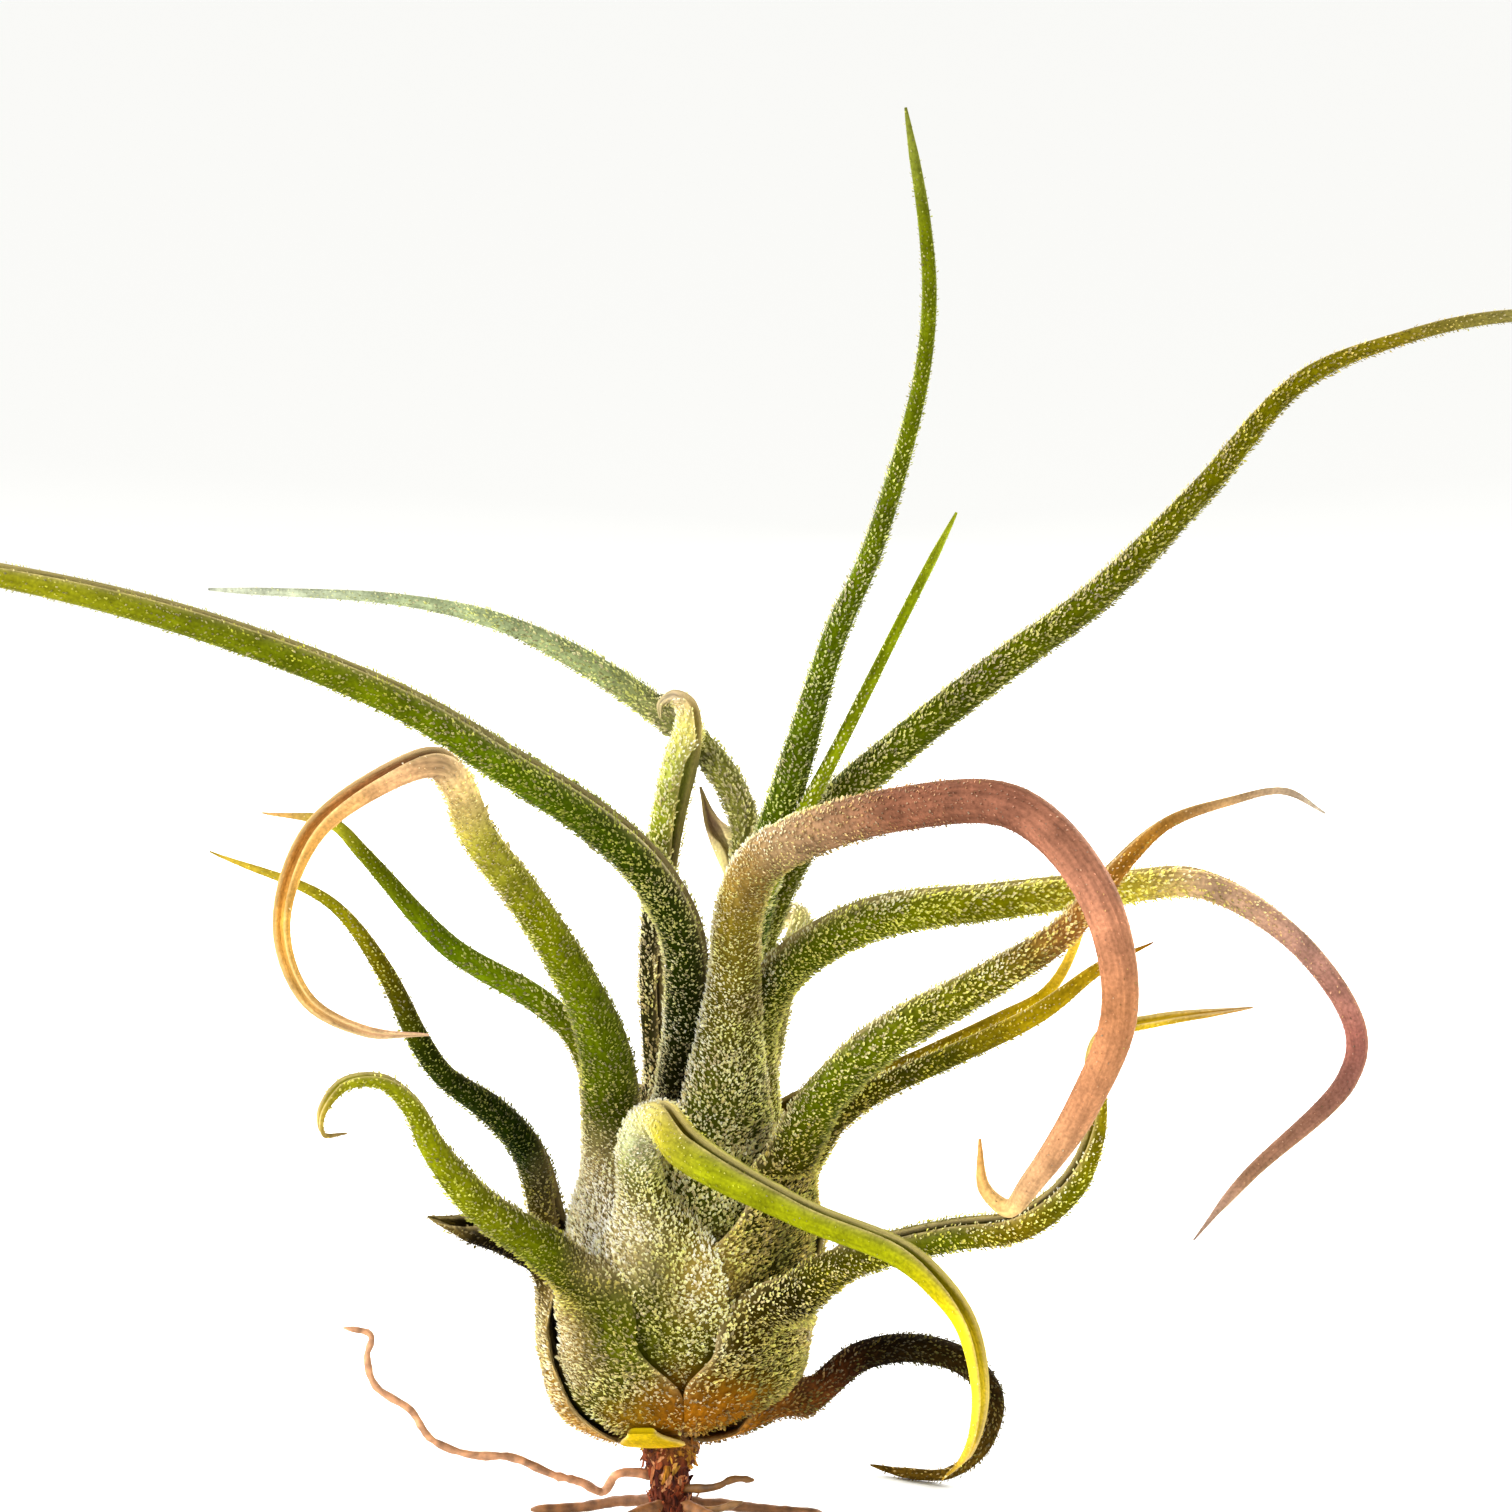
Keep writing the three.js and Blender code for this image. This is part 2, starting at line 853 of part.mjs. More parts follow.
// The points of one section, the outer side first and then the inner side back again
function sectionPoints({ rib, way, inward, radius, roll, slope }, count, grown) {
  const across = new THREE.Vector3().crossVectors(way, inward);
  const middle = rib.clone().addScaledVector(inward, radius);
  const thickness = thicknessOf(radius);
  const wide = roll + grown / radius;
  const place = (angle, depth) => {
    const outward = inward
      .clone()
      .multiplyScalar(-Math.cos(angle))
      .addScaledVector(across, Math.sin(angle));
    const sunk = Math.min(depth * Math.cos(slope), radius * (1 - BORE_SHARE));
    return middle
      .clone()
      .addScaledVector(outward, radius - sunk)
      .addScaledVector(way, depth * Math.sin(slope));
  };
  const outer = [];
  const inner = [];
  for (let i = 0; i < count; i++) {
    const angle = lerp(-wide, wide, i / (count - 1));
    outer.push(place(angle, -grown));
    inner.unshift(place(angle, thickness + grown));
  }
  return [...outer, ...inner];
}

// A closed surface through rings of points, each ring a closed loop of the same number of points
function loft(rings, capOutline) {
  const n = rings[0].length;
  const cap = THREE.ShapeUtils.triangulateShape(capOutline, []);
  const index = [];
  for (let i = 0; i + 1 < rings.length; i++) {
    for (let k = 0; k < n; k++) {
      const a = i * n + k;
      const b = i * n + ((k + 1) % n);
      index.push(a, b + n, b, a, a + n, b + n);
    }
  }
  const end = (rings.length - 1) * n;
  for (const [a, b, c] of cap) {
    index.push(a, b, c);
    index.push(end + c, end + b, end + a);
  }
  const geometry = new THREE.BufferGeometry().setFromPoints(rings.flat());
  geometry.setIndex(index);
  return geometry;
}

function solidOf(geometry) {
  const plain = geometry.clone();
  plain.deleteAttribute("normal");
  plain.deleteAttribute("uv");
  const merged = mergeVertices(plain, 1e-4);
  const solid = new wasm.Manifold(
    new wasm.Mesh({
      numProp: 3,
      vertProperties: merged.attributes.position.array,
      triVerts: new Uint32Array(merged.index.array),
    }),
  );
  return solid;
}

function geometryOf(solid) {
  const { vertProperties, triVerts } = solid.getMesh();
  const geometry = new THREE.BufferGeometry();
  geometry.setAttribute("position", new THREE.BufferAttribute(vertProperties, 3));
  geometry.setIndex(new THREE.BufferAttribute(triVerts, 1));
  return geometry;
}

function sectionsOf(leaf) {
  const base = baseSections(leaf);
  if (!leaf.route) return base;
  const blade = bladeSections(leaf);
  const join = joinSections(base[base.length - 1], blade[0]);
  return [...base, ...join, ...blade];
}

// The same points of a section, laid out flat, for its ends
function capOutline(count) {
  const reach = degrees(100);
  const outer = [];
  const inner = [];
  for (let i = 0; i < count; i++) {
    const angle = lerp(-reach, reach, i / (count - 1));
    const point = new THREE.Vector2(Math.sin(angle), -Math.cos(angle));
    outer.push(point.clone().multiplyScalar(2));
    inner.unshift(point);
  }
  return [...outer, ...inner];
}

function leafSolid(leaf, grown) {
  const count = leaf.flat >= WIDE_LEAF ? WIDE_POINTS : NARROW_POINTS;
  const rings = sectionsOf(leaf).map((made) => sectionPoints(made, count, grown));
  return solidOf(loft(rings, capOutline(count)));
}

function roundRings(curve, radii, sides, shares) {
  let side = new THREE.Vector3(1, 0, 0);
  if (Math.abs(curve.getTangent(0).x) > 0.9) side = new THREE.Vector3(0, 1, 0);
  return shares.map((share) => {
    const way = curve.getTangent(share);
    side = square(side, way);
    const other = new THREE.Vector3().crossVectors(side, way);
    const middle = curve.getPoint(share);
    return [...Array(sides).keys()].map((i) => {
      const angle = (2 * Math.PI * i) / sides;
      return middle
        .clone()
        .addScaledVector(side, radii(share, angle) * Math.cos(angle))
        .addScaledVector(other, radii(share, angle) * Math.sin(angle));
    });
  });
}

function roundOutline(sides) {
  return [...Array(sides).keys()].map((i) => {
    const angle = (2 * Math.PI * i) / sides;
    return new THREE.Vector2(Math.cos(angle), Math.sin(angle));
  });
}

function rootSolid(root) {
  const curve = new THREE.CatmullRomCurve3(
    root.map(([x, y, z]) => new THREE.Vector3(x, y, z)),
  );
  const widths = widthCurve(root);
  const rings = roundRings(
    curve,
    (share) => widths.getPoint(share).y,
    ROOT_SIDES,
    stepsAlong(curve, ROOT_STEP, ROOT_TURN),
  );
  return solidOf(loft(rings, roundOutline(ROOT_SIDES)));
}

// The stub has level sections, so its foot is flat on the ground
function stubSolid() {
  const rings = STUB.map(([x, y, z, r], level) =>
    [...Array(STUB_SIDES).keys()].map((i) => {
      const angle = (2 * Math.PI * i) / STUB_SIDES;
      const ridge = Math.sin(BARK_RIDGES * angle + 1.7 * level);
      const radius = level === 0 ? r : r + BARK_DEPTH * ridge;
      return new THREE.Vector3(
        x + radius * Math.cos(angle),
        y - radius * Math.sin(angle),
        z,
      );
    }),
  );
  return solidOf(loft(rings, roundOutline(STUB_SIDES)));
}

function coreSolid() {
  const profile = [
    new THREE.Vector2(0, CORE_FOOT[1] - 1),
    new THREE.Vector2(CORE_FOOT[0] - 0.6, CORE_FOOT[1] - 1),
    new THREE.Vector2(...CORE_FOOT),
    new THREE.Vector2(...CORE_TOP),
    new THREE.Vector2(0, CORE_TOP[1]),
  ];
  const core = new THREE.LatheGeometry(profile, CORE_SIDES);
  core.rotateX(Math.PI / 2);
  core.translate(BULB_X, 0, 0);
  return solidOf(core);
}

function stemSolid() {
  let stem = coreSolid().add(stubSolid());
  for (const root of ROOTS) stem = stem.add(rootSolid(root));
  return stem;
}

function largest(solid) {
  const bodies = solid.decompose();
  return bodies.reduce((a, b) => (a.volume() > b.volume() ? a : b));
}

// A leaf cut clear of those listed after it, which lie over it
function fittedLeaf(leaf, over) {
  let solid = leafSolid(leaf, 0);
  for (const other of over) {
    const room = leafSolid(other, GAP);
    if (solid.intersect(room).isEmpty()) continue;
    solid = largest(solid.subtract(room));
  }
  return solid;
}

function meshOf(name, solid, colour, roughness) {
  const material = new THREE.MeshStandardMaterial({
    color: colour,
    roughness,
    metalness: 0,
  });
  const mesh = new THREE.Mesh(geometryOf(solid), material);
  mesh.name = name;
  return mesh;
}

const plant = new THREE.Group();
plant.add(meshOf("stem_and_roots", stemSolid(), ROOT_COLOUR, 0.9));
LEAVES.forEach((leaf, i) => {
  plant.add(meshOf(leaf.name, fittedLeaf(leaf, LEAVES.slice(i + 1)), leaf.colour, 0.8));
});

export default plant;
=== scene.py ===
# An air plant, Tillandsia pruinosa: leaves with silvery scales, a stub of bark and wiry roots.
import math

import bpy
import numpy as np
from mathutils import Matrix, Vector
from mathutils.bvhtree import BVHTree


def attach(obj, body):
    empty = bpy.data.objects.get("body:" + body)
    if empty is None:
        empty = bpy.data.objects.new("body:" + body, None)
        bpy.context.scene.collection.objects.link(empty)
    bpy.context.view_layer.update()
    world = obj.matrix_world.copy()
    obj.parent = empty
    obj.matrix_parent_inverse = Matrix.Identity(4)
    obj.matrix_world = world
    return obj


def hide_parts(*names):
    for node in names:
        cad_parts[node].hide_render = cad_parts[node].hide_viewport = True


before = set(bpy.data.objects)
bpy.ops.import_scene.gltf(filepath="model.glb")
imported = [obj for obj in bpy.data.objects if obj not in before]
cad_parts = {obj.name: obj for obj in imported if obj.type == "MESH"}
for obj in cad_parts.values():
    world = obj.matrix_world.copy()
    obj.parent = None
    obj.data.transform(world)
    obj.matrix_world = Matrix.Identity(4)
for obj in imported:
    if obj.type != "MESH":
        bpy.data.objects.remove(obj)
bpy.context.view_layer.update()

# Lengths in this script are millimetres, and MM turns them into Blender's metres
MM = 0.001
UP = np.array([0.0, 0.0, 1.0])

# The camera looks at this point from this far and high
TARGET = (8.82, 0, 82.5)
CAMERA_DISTANCE = 600
CAMERA_ELEVATION = 8
FRAME_WIDTH = 158.8
SENSOR = 36

# The floor runs on past the top of the picture
FLOOR_HALF = 40000

# The bulb's skin: radius and height, from its foot to its neck
BULB_SKIN = [
    [3.9, 9.3],
    [10, 10.8],
    [13.8, 14.2],
    [15, 20],
    [15, 27],
    [13.4, 35],
    [10.2, 43.5],
    [7.4, 51],
]
BULB_X = 0.8
LEAN = 0.147
LEAN_FROM = 24

# The bulb sits askew on its stem: its foot is lower on the left, up to this height
ASKEW = 0.1
ASKEW_FROM = 12
ASKEW_TO = 34

# Leaf bases lie in layers, 0 outermost, each drawn in by this share towards the bulb's heart
LAYER_SHARE = 0.083
HEART_Z = 24
LAYERS_LEAVE_FROM = 18
LAYERS_LEAVE_PER_MM = 0.144

# How closely the height of a leaf's neck is sought, as a share of the bulb's skin
NECK_STEP = 0.005

# A base covers less of its angle at its foot, and narrows from this share of its height
FOOT_WRAP = 0.93
FOOT_SHARE = 0.15
NARROW_FROM = 0.35

# A leaf's section is an open roll. ROLL is half of the angle that it covers, and it opens to TIP_ROLL as its
# radius goes down from FULL_ROLL_RADIUS to TIP_RADIUS.
ROLL = math.radians(163)
TIP_ROLL = math.radians(95)
TIP_RADIUS = 0.6
FULL_ROLL_RADIUS = 1.6

# A blade is as thick as this share of its radius, between the thinnest and the thickest. Where its radius
# goes up from BLADE_RADIUS to BASE_RADIUS, it gets as thick as a sheath. A bore is left along its middle.
THICKNESS_SHARE = 0.58
THINNEST = 0.62
THICKEST = 1.15
BASE_THICKNESS = 0.72
BLADE_RADIUS = 2.6
BASE_RADIUS = 5
BORE_SHARE = 0.12

# Its margins are thinner than its middle by this share, and the higher the taper, the later that starts
MARGIN_THINNING = 0.5
MARGIN_TAPER = 6

# Its margins are rounded off from this share of its half width, by this share of their thickness, and its
# inner side ends a little short of them
ROUNDED_FROM = 0.9
ROUNDED_BY = 0.25
INNER_REACH = 0.985

# A blade's width changes smoothly along its route, down to this least width. It then runs out in a point
# this fine over its last stretch, and POINT_BULGE makes that point blunter as it nears 0.
WIDTH_TENSION = 0.3
LEAST_WIDTH = 0.8
POINT_WIDTH = 0.3
POINT_STRETCH = 5
POINT_BULGE = 0.7

# The point of its route by which a blade has made its twist
TWIST_BY = 2

# How fine a leaf's mesh is: the longest steps along its base, its join and its blade, the furthest that a
# blade turns in a step, and the points across its outer and its inner side
BASE_STEP = 0.9
JOIN_STEP = 0.9
BLADE_STEP = 1.3
BLADE_TURN = math.radians(7)
OUTER_POINTS = 23
INNER_POINTS = 13
ROUTE_SAMPLES = 400
FEWEST_BASE_RINGS = 6
FEWEST_JOIN_RINGS = 2

# The leaves, from the innermost. layer is the leaf's layer in the bulb, towards the way it faces there in
# degrees from +X, wrap half of the angle that it covers, neck the height where it leaves the bulb, and flat
# half of its width when rolled out. mouth is the same at the neck where that differs, full the share of its
# height up to which a base keeps its angle, veer how far it has turned by its neck, and twist how far its
# roll turns round early in its blade.
# route is the middle line of its blade: x, y, z and the width of the roll. Without one it is a base alone.
# looks are the colour of its skin, the colour of its scales and how many scales a square millimetre has.
# A look's place is -2 at the leaf's foot, -1 at its neck, and then the number of a point of its route.
LEAVES = [
    {
        "name": "leaf_youngest",
        "layer": 7, "towards": 290, "wrap": 50, "neck": 40, "flat": 3,
        "route": [
            [6, -1.2, 50, 1.5],
            [7.2, -3, 60, 1.8],
            [9.3, -3.3, 67.5, 1.9],
            [13.2, -2.2, 75.5, 1.9],
            [18, 0.8, 84.5, 1.5],
            [25, 5, 98, 1.2],
            [30, 7, 107.5, 0.9],
        ],
        "looks": [
            [-2, 0x6A6420, 0xEDE093, 3],
            [0, 0x606A10, 0xF3EEA9, 4],
            [3, 0x717C05, 0xF5F0B6, 3],
            [5, 0x828F0B, 0xDCDC7F, 1.2],
            [6, 0x949C20, 0xE4E080, 0.3],
        ],
    },
    {
        "name": "leaf_upright",
        "layer": 6, "towards": 120, "wrap": 55, "neck": 38, "flat": 6, "mouth": 5, "twist": 130,
        "route": [
            [5, 2.4, 50, 2.4],
            [7.8, 1, 61, 3.3],
            [10.1, 0.4, 72, 3.8],
            [12.2, -0.3, 79, 3.5],
            [17, 0, 95, 2.5],
            [21, 2, 104, 2.2],
            [26, 5, 121, 1.7],
            [27, 6, 130, 1.6],
            [26.5, 7, 138, 1.4],
            [24.5, 8, 150, 0.9],
        ],
        "looks": [
            [-2, 0x5A5418, 0xE9DC93, 4],
            [1, 0x3C4E04, 0xC8C87C, 4.2],
            [3, 0x3E4C00, 0xB4BC6C, 3.8],
            [4.5, 0x4A5600, 0xB4B878, 3],
            [6, 0x555E02, 0xB8B85A, 2],
            [8, 0x575E04, 0x9D9C4A, 1.3],
            [9, 0x6E722C, 0xCCC880, 0.4],
        ],
    },
    {
        "name": "leaf_long_right",
        "layer": 5, "towards": 20, "wrap": 42, "neck": 40, "flat": 6, "mouth": 4.4, "veer": 14, "twist": -70,
        "route": [
            [7.6, 5.6, 50, 2.8],
            [8.9, 5, 60, 3.2],
            [11.3, 3.9, 67.5, 3.1],
            [15.2, 2.9, 75, 3.8],
            [24, 4, 83, 3.7],
            [34.5, 6, 91, 3.5],
            [45.5, 8, 99, 3.2],
            [56, 10, 109.5, 2.7],
            [66.5, 12, 121, 2.2],
            [77, 13, 125.5, 1.7],
            [89, 13, 128, 1.6],
            [112, 10, 127, 0.9],
        ],
        "looks": [
            [-2, 0x5A5210, 0xEFDF8D, 4],
            [2, 0x4C5008, 0xD4CC88, 4.6],
            [4, 0x444E00, 0xBCB868, 4],
            [6, 0x4C5000, 0xB0A858, 3.6],
            [8, 0x5E5800, 0xB4A448, 3],
            [9, 0x6A5E0C, 0xB49A46, 2],
            [11, 0x767048, 0xBAB884, 0.8],
        ],
    },
    {
        "name": "leaf_long_left",
        "layer": 5, "towards": 190, "wrap": 38, "neck": 37, "flat": 6.4, "twist": -15,
        "route": [
            [0.8, 0.4, 47, 5],
            [1.7, -1.2, 55, 5],
            [1.2, -3.7, 64.3, 4.8],
            [-2.1, -5, 70.8, 4.6],
            [-7.7, -6, 76.3, 4.4],
            [-18, -6, 83, 4.1],
            [-28, -6, 89, 3.6],
            [-49, -5, 97, 3.2],
            [-70, -3, 102, 2.7],
            [-91, 2, 104, 1.9],
            [-107, 6, 102, 0.9],
        ],
        "looks": [
            [-2, 0x4A4218, 0xE0D293, 5],
            [-0.6, 0x2A240E, 0xDCD29E, 5.5],
            [1, 0x1C2400, 0xDCD199, 5],
            [3, 0x283400, 0xBCB860, 5],
            [4, 0x384800, 0x9BA238, 4.4],
            [5, 0x485A00, 0x9AA031, 4],
            [6, 0x505C00, 0xA9AA2E, 2.8],
            [7, 0x585E04, 0xB2B02D, 1.8],
            [8, 0x76740E, 0xD4CC44, 1.2],
            [10, 0x969040, 0xDCD45C, 0.4],
        ],
    },
    {
        "name": "leaf_back_left",
        "layer": 5, "towards": 106, "wrap": 34, "neck": 40, "flat": 4.5, "twist": 90,
        "route": [
            [3.6, 5.8, 50, 2.2],
            [5.6, 6.4, 61, 2.6],
            [7.5, 7.6, 69, 2.9],
            [7.6, 9.7, 74, 3.1],
            [5.4, 14, 78.5, 3.1],
            [1.7, 19, 82, 3],
            [-1.6, 21.6, 84.3, 3],
            [-9.3, 26.5, 88.8, 2.7],
            [-19.4, 31.5, 93, 2],
            [-30.7, 36, 95, 1.4],
            [-52.3, 40, 95.7, 0.8],
        ],
        "looks": [
            [-2, 0x5C5620, 0xDCCC86, 4],
            [2, 0x66642C, 0xCCC07F, 4],
            [4, 0x646424, 0xABA86A, 4],
            [6, 0x66683A, 0xABAC66, 4],
            [7, 0x7C8658, 0xB8BC73, 3],
            [9, 0x8A9470, 0xBABA8A, 2],
            [10, 0xA8AC98, 0xD4D09D, 0.5],
        ],
    },
    {
        "name": "leaf_right_arch",
        "layer": 4, "towards": 355, "wrap": 40, "neck": 37, "flat": 6.4,
        "route": [
            [8.6, -0.9, 47, 5],
            [8.7, -1.6, 54, 4.7],
            [11.9, -3.2, 60.5, 4.8],
            [20.5, -5.5, 66, 4.5],
            [34.5, -5, 68, 3.9],
            [48, -2, 69, 3.5],
            [55.5, 0, 69, 3.2],
            [66.5, 4, 62, 2.8],
            [73, 6, 52, 2.6],
            [72, 6, 46.5, 2.5],
            [61.5, 4, 36.5, 1.8],
            [55.5, 2, 30, 0.9],
        ],
        "looks": [
            [-2, 0x535018, 0xF5E493, 5],
            [0, 0x555110, 0xFFECA0, 6.5],
            [2, 0x384200, 0xECE070, 6],
            [3, 0x5A6400, 0xD0CC50, 5],
            [4, 0x747400, 0xDCD45C, 4],
            [5, 0xA89828, 0xFDEA5D, 4],
            [6, 0xB09070, 0xE8CC7E, 2.6],
            [7, 0x9C7464, 0xCCA86D, 1],
            [8, 0x8E584C, 0xB88474, 0.6],
            [9, 0x7A5044, 0xA88474, 0.5],
            [10, 0x86634B, 0xB49449, 0.6],
            [11, 0x9A8070, 0xCCB863, 0.2],
        ],
    },
    {
        "name": "leaf_big_loop",
        "layer": 5, "towards": 280, "wrap": 42, "neck": 41, "flat": 6.8,
        "route": [
            [5.5, -4.2, 47, 9.2],
            [6.1, -5, 54, 6.6],
            [6.6, -7.4, 61, 5],
            [7, -9.8, 67.5, 4.7],
            [9, -13, 73, 4.7],
            [12.5, -16.5, 76, 4.6],
            [23.5, -24, 80.5, 4.5],
            [35, -31, 81.5, 4.5],
            [42.5, -35, 74, 4.2],
            [45, -36, 62.5, 3.8],
            [41.5, -34, 52, 3.4],
            [36.5, -30.5, 43.2, 2.5],
            [34.4, -28, 40.2, 1.9],
            [32, -26.8, 42, 1.4],
            [31.5, -26, 47, 0.9],
        ],
        "looks": [
            [-2, 0x444110, 0xDCCA7F, 5.5],
            [-1, 0x40440C, 0xF0E094, 6.5],
            [0, 0x40440A, 0xF4E49C, 6.5],
            [1, 0x4B4711, 0xFFEEA9, 6],
            [3, 0x6D5E19, 0xEBD38D, 5.5],
            [4, 0x876B35, 0xE9CE96, 5],
            [5, 0x8E7454, 0xDEC587, 3.6],
            [6, 0x744A36, 0xB88F55, 2],
            [7, 0x784C3A, 0xAC8A70, 0.8],
            [8, 0xA46E54, 0xC49478, 0.4],
            [9, 0x9C6844, 0xD49C74, 0.3],
            [10, 0xA87450, 0xD4A078, 0.3],
            [11, 0xB08860, 0xDCC8B0, 0.3],
            [12, 0xC8A468, 0xF0D098, 0.3],
            [14, 0xC08C48, 0xF9C873, 0.2],
        ],
    },
    {
        "name": "leaf_hooked",
        "layer": 4, "towards": 150, "wrap": 34, "neck": 38, "flat": 4.6,
        "route": [
            [-1.8, 4.8, 48, 2.6],
            [-2.3, 7.6, 58, 2.7],
            [-1.5, 11, 67.5, 3.2],
            [-0.6, 13, 73.7, 3.7],
            [0.8, 14, 79.6, 4],
            [1.7, 14.2, 83.9, 3.6],
            [1.4, 14.7, 86, 3],
            [0, 14.9, 87, 2.4],
            [-1.5, 14.5, 86.2, 1.7],
            [-1.5, 14, 84.6, 0.9],
        ],
        "looks": [
            [-2, 0x282608, 0xC4AB66, 5],
            [0, 0x211F04, 0xC8B075, 5],
            [2, 0x1D1C02, 0xC0B67B, 4.5],
            [3, 0x7C841C, 0xF9E486, 4.5],
            [4, 0xA4A84C, 0xFFF8A2, 4.5],
            [5, 0xC8BC68, 0xFFF4A5, 4.5],
            [6, 0xC8B078, 0xFFF0A2, 3],
            [7, 0xC8B494, 0xFFE8A0, 2.5],
            [9, 0x7C7A48, 0xB4AC66, 1],
        ],
    },
    {
        "name": "leaf_back_creased",
        "layer": 4, "towards": 75, "wrap": 32, "neck": 38, "flat": 5.2,
        "route": [
            [5, 9.8, 49, 2.6],
            [8.4, 10.4, 58, 3.2],
            [9.2, 11.4, 64, 4],
            [8, 12.6, 67.2, 4.4],
            [6, 13.6, 70.6, 3.6],
            [4.1, 14.6, 73.2, 2],
            [2.8, 15.6, 77, 0.9],
        ],
        "looks": [
            [-2, 0x6A5C28, 0xEDD88D, 3],
            [2, 0xA8945C, 0xEDD493, 1.5],
            [3, 0xB4A060, 0xEDD493, 0.8],
            [4, 0xC6BA7C, 0xE9D893, 0.4],
            [5, 0xA0826A, 0xD4B890, 0.4],
            [6, 0xA88C74, 0xD8C086, 0.2],
        ],
    },
    {
        "name": "leaf_left_loop",
        "layer": 3, "towards": 200, "wrap": 40, "neck": 34, "flat": 8,
        "route": [
            [-5.7, -4.3, 42, 7.4],
            [-6.2, -6.4, 47.5, 6.4],
            [-7, -8.6, 53.5, 5.3],
            [-9.4, -10.8, 60, 4.4],
            [-14.5, -15, 69.5, 4],
            [-19.5, -20, 77.5, 3.8],
            [-21.5, -24, 83.5, 3.5],
            [-23.6, -26.6, 85.6, 3.2],
            [-28, -28, 84.3, 2.8],
            [-35.5, -31, 79, 2.4],
            [-38.5, -33, 70, 1.9],
            [-36, -33, 62.5, 1.7],
            [-30, -32, 59, 1.4],
            [-24, -30, 58.4, 0.9],
        ],
        "looks": [
            [-2, 0x55511C, 0xEDD99E, 5.5],
            [-1, 0x4D491A, 0xF9E6B0, 6],
            [0, 0x504C18, 0xF9E6A9, 6],
            [1, 0x3C4400, 0xB4AA66, 5],
            [2, 0x485400, 0x9DA03B, 4.5],
            [3, 0x586400, 0xABAC40, 4],
            [4, 0x6C7000, 0xCAC070, 3.6],
            [5, 0x9A9430, 0xD6C376, 3.4],
            [6, 0xD8B880, 0xFFEA96, 3],
            [7, 0xA88860, 0xE8C8A4, 1],
            [8, 0xD0A070, 0xECC490, 0.3],
            [9, 0xD49C50, 0xF0CE8A, 0.2],
            [10, 0xD8A248, 0xF5D890, 0.2],
            [11, 0xC89A54, 0xF5DC9A, 0.2],
            [13, 0xCEA284, 0xE4C893, 0.1],
        ],
    },
    {
        "name": "leaf_right_rising",
        "layer": 3, "towards": 325, "wrap": 55, "neck": 38.5, "flat": 6.2, "full": 0.8, "twist": 25,
        "route": [
            [12.4, -8.5, 41.5, 5.4],
            [15.5, -10, 48, 5],
            [20.5, -11.5, 53.5, 4.8],
            [34, -12, 61.5, 3.8],
            [40.5, -11, 65.5, 3.2],
            [44, -10, 69.5, 2.8],
            [47, -9, 73, 2.3],
            [51.5, -6, 76.5, 1.9],
            [58, -3, 78.3, 1.5],
            [64.5, 1, 78.8, 1.2],
            [69, 3, 76, 0.9],
        ],
        "looks": [
            [-2, 0x373408, 0xD4BE6A, 5],
            [0, 0x383502, 0xCAB655, 5.5],
            [1, 0x4C5600, 0xCCC45A, 5.2],
            [2, 0x525C00, 0xC8C45A, 4.6],
            [3, 0x5E5A08, 0xD8C866, 4.2],
            [4, 0x8A5E2E, 0xF5C464, 4],
            [6, 0x93621A, 0xDBA253, 1.6],
            [7, 0x906428, 0xD2B058, 0.7],
            [8, 0xA07E54, 0xC8A854, 0.3],
            [10, 0xA89A88, 0xD4C873, 0.1],
        ],
    },
    {
        "name": "leaf_right_yellow",
        "layer": 3, "towards": 60, "wrap": 34, "neck": 33, "flat": 3.6, "twist": -90,
        "route": [
            [9.4, 11.6, 40.5, 2.4],
            [14, 12.2, 43.6, 2.1],
            [20, 12, 45.5, 2],
            [35, 12, 52.5, 1.8],
            [40, 11, 55.5, 1.7],
            [42.6, 10, 60, 1.4],
            [44.5, 9, 67, 0.9],
        ],
        "looks": [
            [-2, 0x5C5018, 0xDCC870, 3],
            [1, 0x5A4A08, 0xD4BC3F, 2],
            [3, 0x8A7408, 0xCCB01F, 1.2],
            [4, 0xAC8E04, 0xDBBB18, 0.8],
            [5, 0xDCB438, 0xF9D444, 0.3],
            [6, 0xD8B040, 0xF5D04C, 0.2],
        ],
    },
    {
        "name": "leaf_back_short",
        "layer": 2, "towards": 102, "wrap": 17, "neck": 34, "flat": 3.2,
        "route": [
            [0, 16, 38, 2.8],
            [-0.5, 23, 43, 2.4],
            [-1, 32, 45, 2],
            [-2, 41, 39.5, 1.5],
            [-2.4, 45, 31, 0.9],
        ],
        "looks": [
            [-2, 0x4A4010, 0xCCB878, 4],
            [0, 0x504A14, 0xCCBC70, 4],
            [2, 0x6C6828, 0xCCC070, 2.5],
            [4, 0x84744A, 0xCCB87F, 0.8],
        ],
    },
    {
        "name": "leaf_front_folded",
        "layer": 2, "towards": 265, "wrap": 40, "neck": 29, "flat": 6.2, "mouth": 8.2,
        "full": 0.6, "veer": -11, "twist": 50,
        "route": [
            [-3.1, -10.9, 38.5, 4.6],
            [-3.5, -10.8, 41.5, 4.2],
            [-3.2, -11.8, 44.7, 3.8],
            [-1.1, -14.5, 46.9, 3.6],
            [1.6, -18.2, 44.3, 4.4],
            [13.5, -24.4, 38.9, 3.1],
            [23.5, -30.3, 36, 3],
            [27.3, -32.8, 33.2, 2.8],
            [30, -34, 29.5, 2.4],
            [31.5, -33, 22.5, 2],
            [30.5, -28, 14.5, 1.5],
            [28, -24.5, 11, 0.9],
        ],
        "looks": [
            [-2, 0x624408, 0xEDD57F, 2],
            [-1.8, 0x555110, 0xEDD57F, 4],
            [-1.5, 0x555212, 0xFFECA0, 6],
            [-1, 0x524A08, 0xFFF0A0, 6.4],
